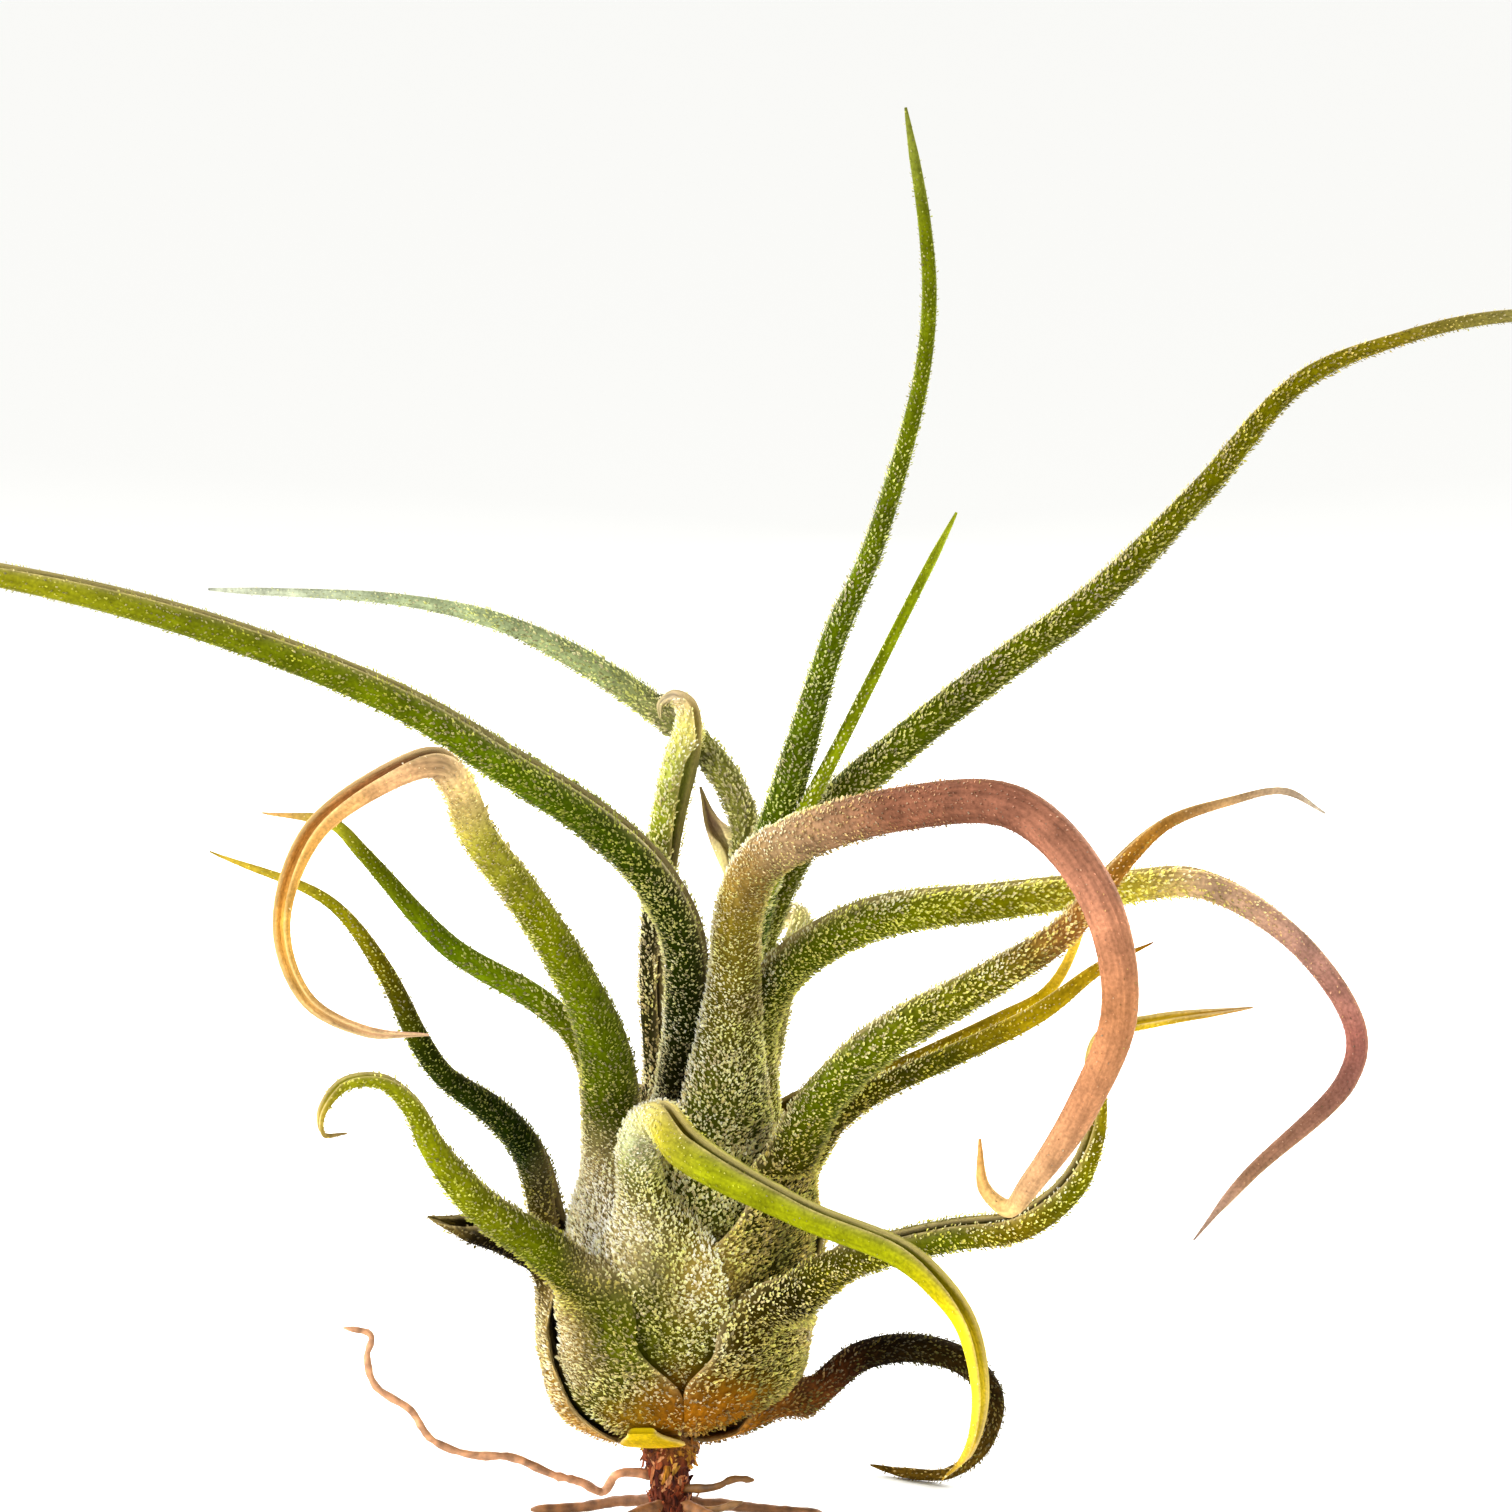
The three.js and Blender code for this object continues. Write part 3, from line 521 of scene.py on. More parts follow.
            [0, 0x4B4806, 0xFDEE9B, 6.4],
            [1, 0x8E9050, 0xFFF1B7, 6],
            [2, 0xC3C898, 0xFFF1C2, 7],
            [3, 0xC8BC70, 0xFFF6B7, 6],
            [3.6, 0xA89C30, 0xFFF06F, 1.6],
            [4.3, 0x7C8008, 0xE8E069, 0.6],
            [5, 0x747804, 0xC8C43A, 0.4],
            [6, 0x7A7C04, 0xD0C834, 0.3],
            [7, 0xA89C08, 0xF5DC2A, 0.4],
            [8, 0xD0B818, 0xFEE02A, 0.25],
            [9, 0xE4CC30, 0xFFE83B, 0.25],
            [10, 0xB8962C, 0xF9D436, 0.6],
            [11, 0x8C6C1C, 0xE4C043, 0.6],
        ],
    },
    {
        "name": "leaf_right_straight",
        "layer": 2, "towards": 16, "wrap": 38, "neck": 31, "flat": 4.4, "twist": -50,
        "route": [
            [14.4, 6.2, 38, 3.2],
            [17, 6.2, 42, 2.9],
            [21.5, 6, 45.5, 2.7],
            [29.5, 5, 49.5, 2.5],
            [39, 4, 54.5, 2.3],
            [45.5, 4, 59.5, 1.7],
            [51, 4, 62, 0.9],
        ],
        "looks": [
            [-2, 0x555114, 0xE9D286, 5],
            [1, 0x403D0B, 0xF5DD66, 5],
            [2, 0x3E3B00, 0xEDD962, 4.5],
            [3, 0x4C4C04, 0xB4A823, 3],
            [4, 0x9A8208, 0xD8BC23, 1.6],
            [5, 0x987810, 0xE0B83B, 1],
            [6, 0x7A4A0C, 0xEDC44C, 0.5],
        ],
    },
    {
        "name": "leaf_low_left",
        "layer": 2, "towards": 147, "wrap": 20, "neck": 31, "flat": 4.6, "mouth": 4, "twist": 70,
        "route": [
            [-7.4, 8.2, 44, 3.2],
            [-10.2, 7.8, 51, 3],
            [-14.5, 8, 55, 2.9],
            [-24, 10, 60.5, 2.6],
            [-33, 10, 70.5, 1.9],
            [-36.5, 10, 74, 1.6],
            [-44, 10, 75, 0.9],
        ],
        "looks": [
            [-2, 0x403810, 0xBCAC70, 4],
            [0, 0x403903, 0xB2A461, 4],
            [2, 0x566400, 0xB5B175, 3],
            [3, 0x4D5E00, 0x959845, 2.2],
            [4, 0x5C6002, 0xA3A44D, 1.6],
            [5, 0x84801C, 0xCCB863, 0.8],
            [6, 0xC8945C, 0xEDD08D, 0.2],
        ],
    },
    {
        "name": "leaf_old_right",
        "layer": 0, "towards": 332, "wrap": 44, "neck": 10.8, "flat": 4.4,
        "route": [
            [15.8, 1, 14.2, 3.3],
            [20, 5, 16.6, 3.2],
            [26, 8, 16.8, 3.1],
            [31.5, 9.4, 14.8, 2.9],
            [34.6, 10.6, 10.6, 2.3],
            [33.6, 12, 5, 1.8],
            [30, 14, 1.4, 1.5],
            [26, 16, 0.8, 1.5],
            [21.5, 19, 0.9, 1.5],
        ],
        # Its looks along the first points of its route are nearly black: partly its own withered brown,
        # partly painted shade under the bulb
        "looks": [
            [-2, 0x7A4A10, 0xB48C46, 1.5],
            [-1, 0x6E4412, 0xA37C38, 2],
            [0, 0x40200A, 0x977846, 2],
            [1, 0x140902, 0x473A0E, 2.2],
            [2, 0x160E02, 0x5A5023, 2.6],
            [4, 0x2A1C06, 0x6E5E2A, 2.5],
            [6, 0x5A4410, 0xAB904D, 2],
            [8, 0x6E5014, 0xB49C5A, 1],
        ],
    },
    {
        "name": "leaf_low_right",
        "layer": 1, "towards": 315, "wrap": 43, "neck": 21.5, "flat": 5.6, "mouth": 7.6,
        "full": 0.75, "twist": 70,
        "route": [
            [13.4, -11.6, 27.5, 4.9],
            [17.5, -13, 31, 4.2],
            [22.5, -15, 33, 3.6],
            [29, -17, 35, 3.4],
            [36, -19, 36.5, 3.3],
            [41, -20, 40.5, 3],
            [43.3, -20, 45.5, 2.4],
            [43.8, -20, 50, 1.9],
            [43, -20.4, 54, 1.7],
            [44.3, -21, 56.8, 1.7],
            [50, -19, 58, 1.6],
            [60, -15, 58.5, 0.9],
        ],
        "looks": [
            [-2, 0x704E0A, 0xDC9E38, 0.8],
            [-1.8, 0x695010, 0xDCAE46, 2.4],
            [-1.6, 0x534F08, 0xE4CE70, 5],
            [-1, 0x3C3004, 0xE8D480, 5.5],
            [0, 0x241E02, 0xCCBE63, 5],
            [1, 0x454201, 0xCCBA38, 4.6],
            [2, 0x4C4A02, 0xB8B434, 3.6],
            [3, 0x485000, 0xB4B02F, 3],
            [4, 0x695A04, 0xF5D851, 3],
            [5, 0x585800, 0xE9E066, 3],
            [6, 0x6C6400, 0xEDDC58, 2.4],
            [8, 0x9E8810, 0xDCC43B, 1.5],
            [10, 0xBC9C1A, 0xE0C021, 0.8],
            [11, 0x9E6A38, 0xDCA860, 0.3],
        ],
    },
    {
        "name": "leaf_curl_left",
        "layer": 1, "towards": 232, "wrap": 40, "neck": 23, "flat": 6.2, "mouth": 5.2,
        "full": 0.65, "twist": -45,
        "route": [
            [-10.6, -11.5, 30, 4.8],
            [-13.5, -13, 33, 4.5],
            [-19.5, -14.5, 37.5, 4],
            [-24.3, -15, 43.5, 3],
            [-26.5, -15, 48, 2.5],
            [-29.5, -16, 51, 2],
            [-33.5, -17, 51, 1.8],
            [-36, -18, 48, 1.5],
            [-35.8, -17, 45.4, 1.2],
            [-33.4, -16, 45.4, 0.9],
        ],
        "looks": [
            [-2, 0x7F5A14, 0xE4B655, 0.8],
            [-1.8, 0x76581A, 0xE4BE63, 2],
            [-1.6, 0x514D12, 0xE4D28A, 5.5],
            [-1, 0x353206, 0xDCCA7F, 5.5],
            [0, 0x404400, 0xB8AA44, 5],
            [1, 0x4C5400, 0xACAC3A, 4.2],
            [2, 0x646804, 0xB0B040, 3.2],
            [3, 0x707404, 0xB0B038, 2.8],
            [4, 0x6C7004, 0xB8B848, 2.6],
            [6, 0x7C7C10, 0xD0C859, 2.4],
            [7, 0x8F7B26, 0xE4D059, 1.4],
            [9, 0x957D50, 0xE4D46B, 0.6],
        ],
    },
    {
        "name": "leaf_left_wavy",
        "layer": 1, "towards": 156, "wrap": 30, "neck": 24, "flat": 5, "twist": 60,
        "route": [
            [-13.2, 2.2, 32, 3.8],
            [-15.2, 0.6, 40, 3.5],
            [-18.8, -1.6, 44.8, 3.2],
            [-24.1, -4.4, 49.5, 2.6],
            [-26.4, -6, 53.4, 2.5],
            [-30, -8, 61.5, 2.1],
            [-35.5, -8, 68.5, 1.6],
            [-48, -7, 73.5, 0.9],
        ],
        "looks": [
            [-2, 0x4A3C10, 0xD4C078, 5],
            [0, 0x3A2E02, 0xC3AF56, 5],
            [1, 0x162200, 0x6C7430, 4.2],
            [2, 0x1A2600, 0x8A8C3C, 3.8],
            [4, 0x283000, 0x8C9036, 3],
            [5, 0x504800, 0xABA44A, 2.8],
            [6, 0x716C06, 0xBCB443, 1.8],
            [7, 0xA88C30, 0xDCC860, 0.5],
        ],
    },
    {
        "name": "leaf_back_right",
        "layer": 1, "towards": 72, "wrap": 43, "neck": 26, "flat": 5, "twist": -80,
        "route": [
            [7.6, 14.6, 36, 3.4],
            [10.2, 17.4, 48, 3],
            [12.2, 22, 56.5, 2.8],
            [13.6, 28, 60.4, 2.4],
            [11.6, 35.5, 59, 2],
            [7.6, 42, 52, 1.5],
            [5.6, 45, 43, 0.9],
        ],
        "looks": [
            [-2, 0x5C5224, 0xE4D08D, 5],
            [0, 0x5C5820, 0xDCCC7F, 4.5],
            [2, 0x78763A, 0xDCD08A, 3],
            [4, 0x9A8C5C, 0xE0CC90, 1.5],
            [6, 0xB0987C, 0xE4D093, 0.5],
        ],
    },
    {
        "name": "leaf_blunt_left",
        "layer": 0.2, "towards": 186, "wrap": 40, "neck": 21.5, "flat": 4.4,
        "route": [
            [-14.6, -3.4, 29.6, 3.2],
            [-17.6, -5.4, 31.8, 3.2],
            [-21, -7.6, 33.5, 3],
            [-25.5, -9.4, 35.2, 2.2],
        ],
        "looks": [
            [-2, 0xA06A2A, 0xDCB063, 1],
            [-1.4, 0x8A6424, 0xCCB070, 2],
            [-1, 0x504010, 0xD4C07F, 4],
            [0, 0x140C02, 0x8C7C48, 2.4],
            [1, 0x0C0601, 0x6C5C2C, 2.4],
            [2, 0x0E0801, 0x5C4A18, 2.4],
            [3, 0x74602C, 0xE4D093, 2],
        ],
    },
    {
        "name": "leaf_base_remnant",
        "layer": 0, "towards": 252, "wrap": 22, "neck": 13, "flat": 1.6, "full": 0.5,
        "looks": [
            [-2, 0xC89808, 0xE4C863, 0],
            [-1, 0xBCA008, 0xE4C863, 0.4],
        ],
    },
    {
        "name": "leaf_back_low",
        "layer": 0, "towards": 92, "wrap": 42, "neck": 15, "flat": 5,
        "route": [
            [0.8, 17.4, 23, 3.6],
            [0.8, 24, 27, 3.4],
            [0.4, 34, 27, 3],
            [-1, 44, 20, 2.6],
            [-2.4, 50.5, 9.5, 2],
            [-3, 56, 2.4, 1.6],
            [-3.2, 62, 0.75, 1.2],
        ],
        "looks": [
            [-2, 0x5A4418, 0xCCB070, 3.5],
            [0, 0x54481C, 0xC4AC6A, 3],
            [3, 0x5C4A22, 0xB49863, 1.6],
            [6, 0x64482A, 0xAB8C53, 0.5],
        ],
    },
]

# Marks on the bulb, each with its middle and its reach in millimetres, the skin's colour there, the share
# of the scales that stays, how bright those are, and how much creamier, or greener below 0. The first three
# are worn bare and brown, where the lowest leaf bases meet at the front.
MARKS = [
    {"at": (1.9, -12.9, 13), "reach": 8.5, "skin": 0x84520A, "kept": 0.45, "shade": 1, "cream": 0},
    {"at": (7.5, -11.5, 13), "reach": 7, "skin": 0x84520A, "kept": 0.5, "shade": 1, "cream": 0},
    {"at": (-5.5, -11.8, 11.5), "reach": 5, "skin": 0x84600C, "kept": 0.6, "shade": 1, "cream": 0},
    {"at": (-1.7, -13.8, 30), "reach": 4.5, "skin": 0x3A4004, "kept": 0.6, "shade": 0.7, "cream": -0.5},
    # The next two marks are partly painted light: on the bulb's left front their scales are painted brighter
    # and creamier, as where light falls
    {"at": (-5.3, -12, 33), "reach": 7, "skin": 0x8A7C50, "kept": 1, "shade": 1.35, "cream": 0.8},
    {"at": (-11.2, -8.8, 22), "reach": 7, "skin": 0x8A7440, "kept": 1, "shade": 1.1, "cream": 0.5},
    {"at": (-5, -13, 23.5), "reach": 6.5, "skin": 0x484C04, "kept": 0.6, "shade": 0.8, "cream": -0.6},
    {"at": (-8.6, -5.9, 37), "reach": 9, "skin": 0x7A6C48, "kept": 1, "shade": 0.95, "cream": 0.3},
    {"at": (3.8, -12.8, 29.5), "reach": 6, "skin": 0x8C7838, "kept": 1, "shade": 1.3, "cream": 0},
]
# A mark is full within a third of its reach, and fades out from there
MARK_EDGE = 1.5

# Scales: flakes that lean towards the leaf's tip, longer than wide, folded along their middle.
# Lengths are in millimetres, and widths, the place of the widest point and the fold are shares of length.
# Rise is how far they stand up and swing how far they turn aside, in degrees.
SCALE_CROWDING = 2.5
SCALE_LENGTH = (0.42, 0.84)
SCALE_WIDTH = 0.5
WIDTH_VARIES = (0.75, 1.2)
SCALE_WAIST = 0.55
SCALE_FOLD = 0.15
SCALE_RISE = (25, 65)
SCALE_SWING = 28
# Their feet are sunk this far into the skin. Across the leaf they stray off an even spread by this share
# of its width.
SCALE_SUNK = 0.03
SCALE_SCATTER = 0.03
# A scale is left out where another leaf is this close over it, seen from just off the skin
COVERED_WITHIN = 1.4
OFF_THE_SKIN = 0.02
# Each is painted darker at its foot, as painted shade where it meets the skin, and brighter at its tip, as a
# painted highlight
SCALE_SHADES = (0.45, 1.5)
PAINTED_FOOT_SHADE = 0.5
PAINTED_TIP_HIGHLIGHT = 1.3
# No scale gives back more than this share of the light, and none takes on more of another colour than this
BRIGHTEST = 0.95
MOST_TINT = 0.8
# On the blades they are smaller than on the bulb
BLADE_SIZE = 0.8
# Where few grow they are smaller: their size at none, and the number per square millimetre for full size.
# There they also blend in, in the skin's own colour, this much lighter.
SPARSE_SIZE = 0.5
FULL_SIZE_FROM = 3
SPARSE_SHADE = 1.5

# Scales vary in patches this wide: some are thinner on the ground, and some creamier or greener.
# They also vary one by one, and those near a leaf's margins are creamier and brighter than along its rib: the
# cream is their own colour, and the brightness is partly paler scales and partly painted rim light.
PATCH_WAVES = 5
PATCH_WIDTH = (3, 9)
PATCH_BALDNESS = 0.3
PATCH_SHADE = 0.16
PATCH_TINT = 0.3
FLAKE_TINT = 0.3
MARGIN_FROM = 0.25
MARGIN_TO = 0.95
MARGIN_CREAM = 0.3
MARGIN_PALER_AND_RIM_LIGHT = 1.3
CREAM = 0xF6E4BC
GREEN = 0xC4C464
# Painted light: scales are painted creamier and brighter on the side that faces this way, as if lit from
# there
PAINTED_LIGHT_WAY = (-0.9, -0.1, 0.4)
PAINTED_SIDE_CREAM = 0.4
PAINTED_SIDE_LIGHT = 0.35

# A leaf's margins are paler than its skin, in a narrow line, and the inner side of its roll is painted
# darker, as painted shade inside the roll
MARGIN_PALE = 0xD8C088
MARGIN_PALENESS = 0.45
MARGIN_NARROWNESS = 14
INNER_PAINTED_SHADE = 0.8
# The inner side's patterns lie this far across from the outer side's, so the two differ
INNER_SHIFT = 40
# These leaves have dried up
WITHERED = ("leaf_old_right", "leaf_back_low", "leaf_blunt_left")

# The golden share spreads the scales evenly across a leaf
GOLDEN = (math.sqrt(5) - 1) / 2
# Where a flake's corners lie in its cell of the square map
FLAKE_CORNERS = [[0.5, 0.15], [0.85, 0.5], [0.5, 0.85], [0.15, 0.5]]

# The random draws start from these numbers, so every run gives the same plant
SCALE_SEED = 100
STUB_SEED = 7
SHRED_SEED = 11
ROOT_SEED = 20

# The stem's bark-covered stub: x, y, z and its radius
STUB = [
    [0, 0, 0, 2.7],
    [-0.1, 0, 1.2, 2.4],
    [-0.3, 0, 3, 2],
    [-0.5, 0, 5.2, 2.1],
    [-0.4, 0, 7.4, 2.8],
    [-0.1, 0, 8.9, 2.9],
    [0.6, 0, 9.8, 3],
]
STUB_RINGS = 46
STUB_SIDES = 36
STUB_ROUGHNESS = 0.05
# Its bark's colours, and how far up the stub each lies
STUB_TINTS = (0x6A3418, 0x54200C, 0x5E2810, 0x8A5A20)
STUB_TINT_PLACES = (0, 0.35, 0.6, 1)

# Loose shreds of bark on the stub: their number, lengths, widths, how far they stand off as a share of
# their length, how far they lean in radians, the share that points down, and how deep they are rooted
SHREDS = 340
SHRED_LENGTH = (0.9, 2.6)
SHRED_WIDTH = (0.3, 0.9)
SHRED_LIFT = (0.0, 0.3)
SHRED_LEAN = 0.6
SHREDS_DOWN = 0.4
SHRED_SUNK = 0.15
# A shred's four steps along its length, with its width at each, where along it the root lies,
# and how far it bulges across, as a share of its width
SHRED_STEPS = (0, 0.35, 0.7, 1)
SHRED_WIDTHS = (0.6, 1, 0.85, 0.3)
SHRED_ROOT = 0.3
SHRED_CUP = 0.25
# They start this far from the ground and from the stub's top, and end above the ground
SHRED_FROM_GROUND = 0.3
SHRED_FROM_TOP = 0.8
OFF_THE_GROUND = 0.02
# Their colours, and how much darker or lighter a shred can be
SHRED_SHADES = (0.7, 1.2)
SHRED_BROWNS = (0x3C1408, 0x54200C, 0x6E2E14, 0x8A4420, 0xB06C40, 0xC88858, 0x46180A, 0x5A2610)
SHRED_TANS = (0xC08A2C, 0xB47820, 0xD09A48, 0x9A5E1C)
# Most are brown, and the ones high up at the front right are tan, round this angle in radians
SHRED_TAN_FROM = 6
SHRED_TAN_ANGLE = -0.9
SHRED_TAN_REACH = 0.8

# Wiry roots: x, y, z and the radius of each point
ROOTS = [
    [
        [-1, 0, 4.8, 0.6],
        [-6, -2, 5.5, 0.5],
        [-7.5, -2, 3.6, 0.5],
        [-10, -3, 5, 0.48],
        [-12.5, -4, 5.9, 0.46],
        [-17, -6, 8.4, 0.46],
        [-21.5, -7, 9, 0.44],
        [-25.5, -8, 11, 0.42],
        [-27.5, -8, 14, 0.42],
        [-31.2, -9, 17, 0.4],
        [-32, -9, 20, 0.38],
        [-31.6, -9, 22.4, 0.36],
        [-34.5, -9, 23.2, 0.32],
    ],
    [
        [0, 0, 3.4, 0.6],
        [4.5, -3, 4.4, 0.42],
        [6.5, -3.2, 5.3, 0.4],
        [8.6, -4, 5.4, 0.34],
    ],
    [
        [0, 0, 2.2, 0.6],
        [3.6, -3, 1.8, 0.42],
        [7.4, -4, 3, 0.34],
    ],
    [
        [0, 0, 2, 0.8],
        [-4, -4.4, 1.8, 0.6],
        [-8.5, -8.6, 0.66, 0.55],
        [-14, -10.6, 0.52, 0.5],
    ],
    [
        [0, 0, 2, 0.8],
        [3.6, -5, 1.9, 0.6],
        [7.6, -9.6, 0.66, 0.55],
        [13.4, -13, 0.52, 0.5],
    ],
    [
        [0, 0, 1.8, 0.8],
        [-5, 2, 1.5, 0.6],
        [-10, 2.6, 0.66, 0.55],
        [-15.4, 2, 0.52, 0.5],
    ],
    [
        [0, 0, 1.8, 0.8],
        [5.4, 0.6, 1.4, 0.6],
        [11, 1.4, 0.66, 0.52],
        [16, 0.4, 0.52, 0.5],
    ],
]
ROOT_TINTS = [0xC08A62, 0x6E4A20, 0x8A6438, 0x8E6038, 0x8E6038, 0x7E5430, 0x7E5430]
ROOT_SIDES = 10
ROOT_STEP = 0.6
FEWEST_ROOT_RINGS = 8
# They swell and shrink along their length, are a little rough, and end in a thin tip
ROOT_SWELLING = 0.07
ROOT_ROUGHNESS = 0.06
ROOT_END = [0.8, 0.4]
ROOT_SHADES = (0.75, 1.15)

# Studio light: the key is a soft sun that shines this way. The lamps stand at x, y, z, with their size in
# millimetres and their power in watts, and face the plant.
KEY_POWER = 3.1
KEY_SOFTNESS = math.radians(24)
KEY_WAY = (0.78, 0.46, -0.5)
LAMPS = {
    "fill": [(600, -160, 300), 500, 1.5],
    "low_left": [(-500, -330, 70), 400, 2.5],
    "rim_right": [(460, 480, 320), 400, 9],
    "rim_left": [(-420, 480, 320), 400, 9],
}
LAMPS_FACE = (5, 0, 50)
ROOM_LIGHT = 0.55


def linear(colour):
    """A hex colour in sRGB as linear red, green and blue."""
    parts = np.array([colour >> 16, colour >> 8 & 255, colour & 255]) / 255
    return np.where(parts <= 0.04045, parts / 12.92, ((parts + 0.055) / 1.055) ** 2.4)


def smoothstep(x, low, high):
    """From 0 at low to 1 at high, with a smooth start and end."""
    s = min(max((x - low) / (high - low), 0), 1)
    return s * s * (3 - 2 * s)


def lerp(a, b, share):
    return a + (b - a) * share


def unit(vector):
    return vector / np.linalg.norm(vector)


def square(vector, normal):
    """The part of a vector that is square to this normal, made one long."""
    return unit(vector - np.dot(vector, normal) * normal)


def spline(points, shares, tension=None):
    """Points on a centripetal Catmull-Rom curve, or on a uniform one where a tension is given."""
    points = np.asarray(points, float)
    last = len(points) - 1
    place = np.clip(np.atleast_1d(shares), 0, 1) * last
    i = np.minimum(place.astype(int), last - 1)
    w = (place - i)[:, None]
    ends = 2 * points[[0, -1]] - points[[1, -2]]
    line = np.vstack([ends[:1], points, ends[1:]])
    p0, p1, p2, p3 = (line[i + k] for k in range(4))
    if tension is None:
        d0, d1, d2 = (
            np.sqrt(np.linalg.norm(b - a, axis=1))[:, None]
            for a, b in ((p0, p1), (p1, p2), (p2, p3))
        )
        m1 = ((p1 - p0) / d0 - (p2 - p0) / (d0 + d1) + (p2 - p1) / d1) * d1
        m2 = ((p2 - p1) / d1 - (p3 - p1) / (d1 + d2) + (p3 - p2) / d2) * d1
    else:
        m1 = tension * (p2 - p0)
        m2 = tension * (p3 - p1)
    cube = 2 * p1 - 2 * p2 + m1 + m2
    bend = -3 * p1 + 3 * p2 - 2 * m1 - m2
    return ((cube * w + bend) * w + m1) * w + p1


def spline_ways(points, shares):
    """The way on along the same curve, at these shares of it."""
    step = 1e-4
    shares = np.atleast_1d(shares)
    ahead = spline(points, np.minimum(shares + step, 1))
    behind = spline(points, np.maximum(shares - step, 0))
    ways = ahead - behind
    return ways / np.linalg.norm(ways, axis=1)[:, None]


def axis_at(z):
    """The middle of the bulb at this height. It leans to the right from LEAN_FROM up."""
    return np.array([BULB_X + LEAN * max(0, z - LEAN_FROM), 0, z])


def askew_at(z):
    """How much lower the bulb's foot sits towards the left at this height, as a slope."""
    return ASKEW * (1 - smoothstep(z, ASKEW_FROM, ASKEW_TO))


def layer_at(layer, u):
    """A layer's skin, u of the way from the bulb's foot to its neck: a point, the way on and the way in."""
    skin = spline(BULB_SKIN, u)[0]
    onward = spline_ways(BULB_SKIN, u)[0]
    gone = max(0, (skin[1] - LAYERS_LEAVE_FROM) * LAYERS_LEAVE_PER_MM)
    point = lerp(skin, np.array([0, HEART_Z]), LAYER_SHARE * max(0, layer - gone))
    return point, onward, np.array([-onward[1], onward[0]])


def neck_of(leaf):
    """How far up its layer's skin a leaf leaves the bulb, as a share."""
    u = 0
    while u < 1 and layer_at(leaf["layer"], u)[0][1] < leaf["neck"]:
        u += NECK_STEP
    return u


def thickness_of(radius):
    """A leaf's thickness where it has this radius: thin on the bulb, and fleshy where it is rolled."""
    blade = min(max(radius * THICKNESS_SHARE, THINNEST), THICKEST)
    return lerp(blade, BASE_THICKNESS, smoothstep(radius, BLADE_RADIUS, BASE_RADIUS))


def roll_of(radius, half_width):
    """Half of the angle that a leaf of this radius covers, no wider than the leaf rolled out."""
    s = min(max((radius - TIP_RADIUS) / (FULL_ROLL_RADIUS - TIP_RADIUS), 0), 1)
    return min(lerp(TIP_ROLL, ROLL, s), half_width / radius)


def facing(towards):
    angle = math.radians(towards)
    return np.array([math.cos(angle), math.sin(angle), 0])


def turned_round(vector, way, angle):
    """A vector square to way, turned round it."""
    return vector * math.cos(angle) + np.cross(way, vector) * math.sin(angle)


class Section:
    """One section of a leaf. rib is the middle of its outer side, and inward the way to its middle."""

    def __init__(self, rib, way, inward, radius, roll, slope, onward, place):
        self.rib = rib
        self.way = way
        self.inward = square(inward, way)
        self.radius = radius
        self.roll = roll
        self.slope = slope
        self.onward = onward
        self.place = place


def base_sections(leaf):
    """A leaf's sheath, which lies in its layer of the bulb."""
    last = neck_of(leaf)
    height = leaf["neck"] - BULB_SKIN[0][1] + BULB_SKIN[1][0]
    count = max(FEWEST_BASE_RINGS, round(height / BASE_STEP))
    widest = math.radians(leaf["wrap"])
    mouth = leaf.get("mouth", leaf["flat"])
    sections = []
    for u in np.linspace(0, last, count):
        point, onward, inward = layer_at(leaf["layer"], u)
        outward = facing(leaf["towards"] + leaf.get("veer", 0) * (u / last) ** 2)
        rise = askew_at(point[1])
        way = unit(np.array([-rise, 0, 1]))
        out = unit(np.array([outward[0], outward[1], rise * outward[0]]))
        rib = axis_at(point[1]) + out * point[0]
        narrowing = smoothstep(u / last, leaf.get("full", NARROW_FROM), 1)
        closed = lerp(FOOT_WRAP, 1, smoothstep(u, 0, FOOT_SHARE))
        wrapped = widest * closed * point[0]
        half = lerp(wrapped, min(mouth, wrapped), narrowing)
        slope = math.atan2(inward[1], -inward[0])
        ahead = unit(outward * onward[0] + UP * onward[1])
        roll = roll_of(point[0], half)
        sections.append(Section(rib, way, -out, point[0], roll, slope, ahead, u / last - 2))
    return sections


def twist_at(leaf, share):
    """How far a leaf's roll has turned round, this share of the way along its route."""
    place = share * (len(leaf["route"]) - 1)
    return math.radians(leaf.get("twist", 0)) * smoothstep(place, 0, TWIST_BY)


def steps_along(leaf, line, longest, turn):
    """Even steps of length and of turning along a leaf's route, as shares of its parameter."""
    shares = np.linspace(0, 1, ROUTE_SAMPLES + 1)
    points = spline(line, shares)
    ways = spline_ways(line, shares)
    lengths = np.linalg.norm(np.diff(points, axis=0), axis=1) / longest
    twists = np.abs(np.diff([twist_at(leaf, share) for share in shares]))
    turns = (np.arccos(np.clip((ways[1:] * ways[:-1]).sum(1), -1, 1)) + twists) / turn
    cost = np.concatenate([[0], np.cumsum(np.maximum(lengths, turns))])
    steps = math.ceil(cost[-1])
    return np.interp(np.linspace(0, cost[-1], steps + 1), cost, shares)


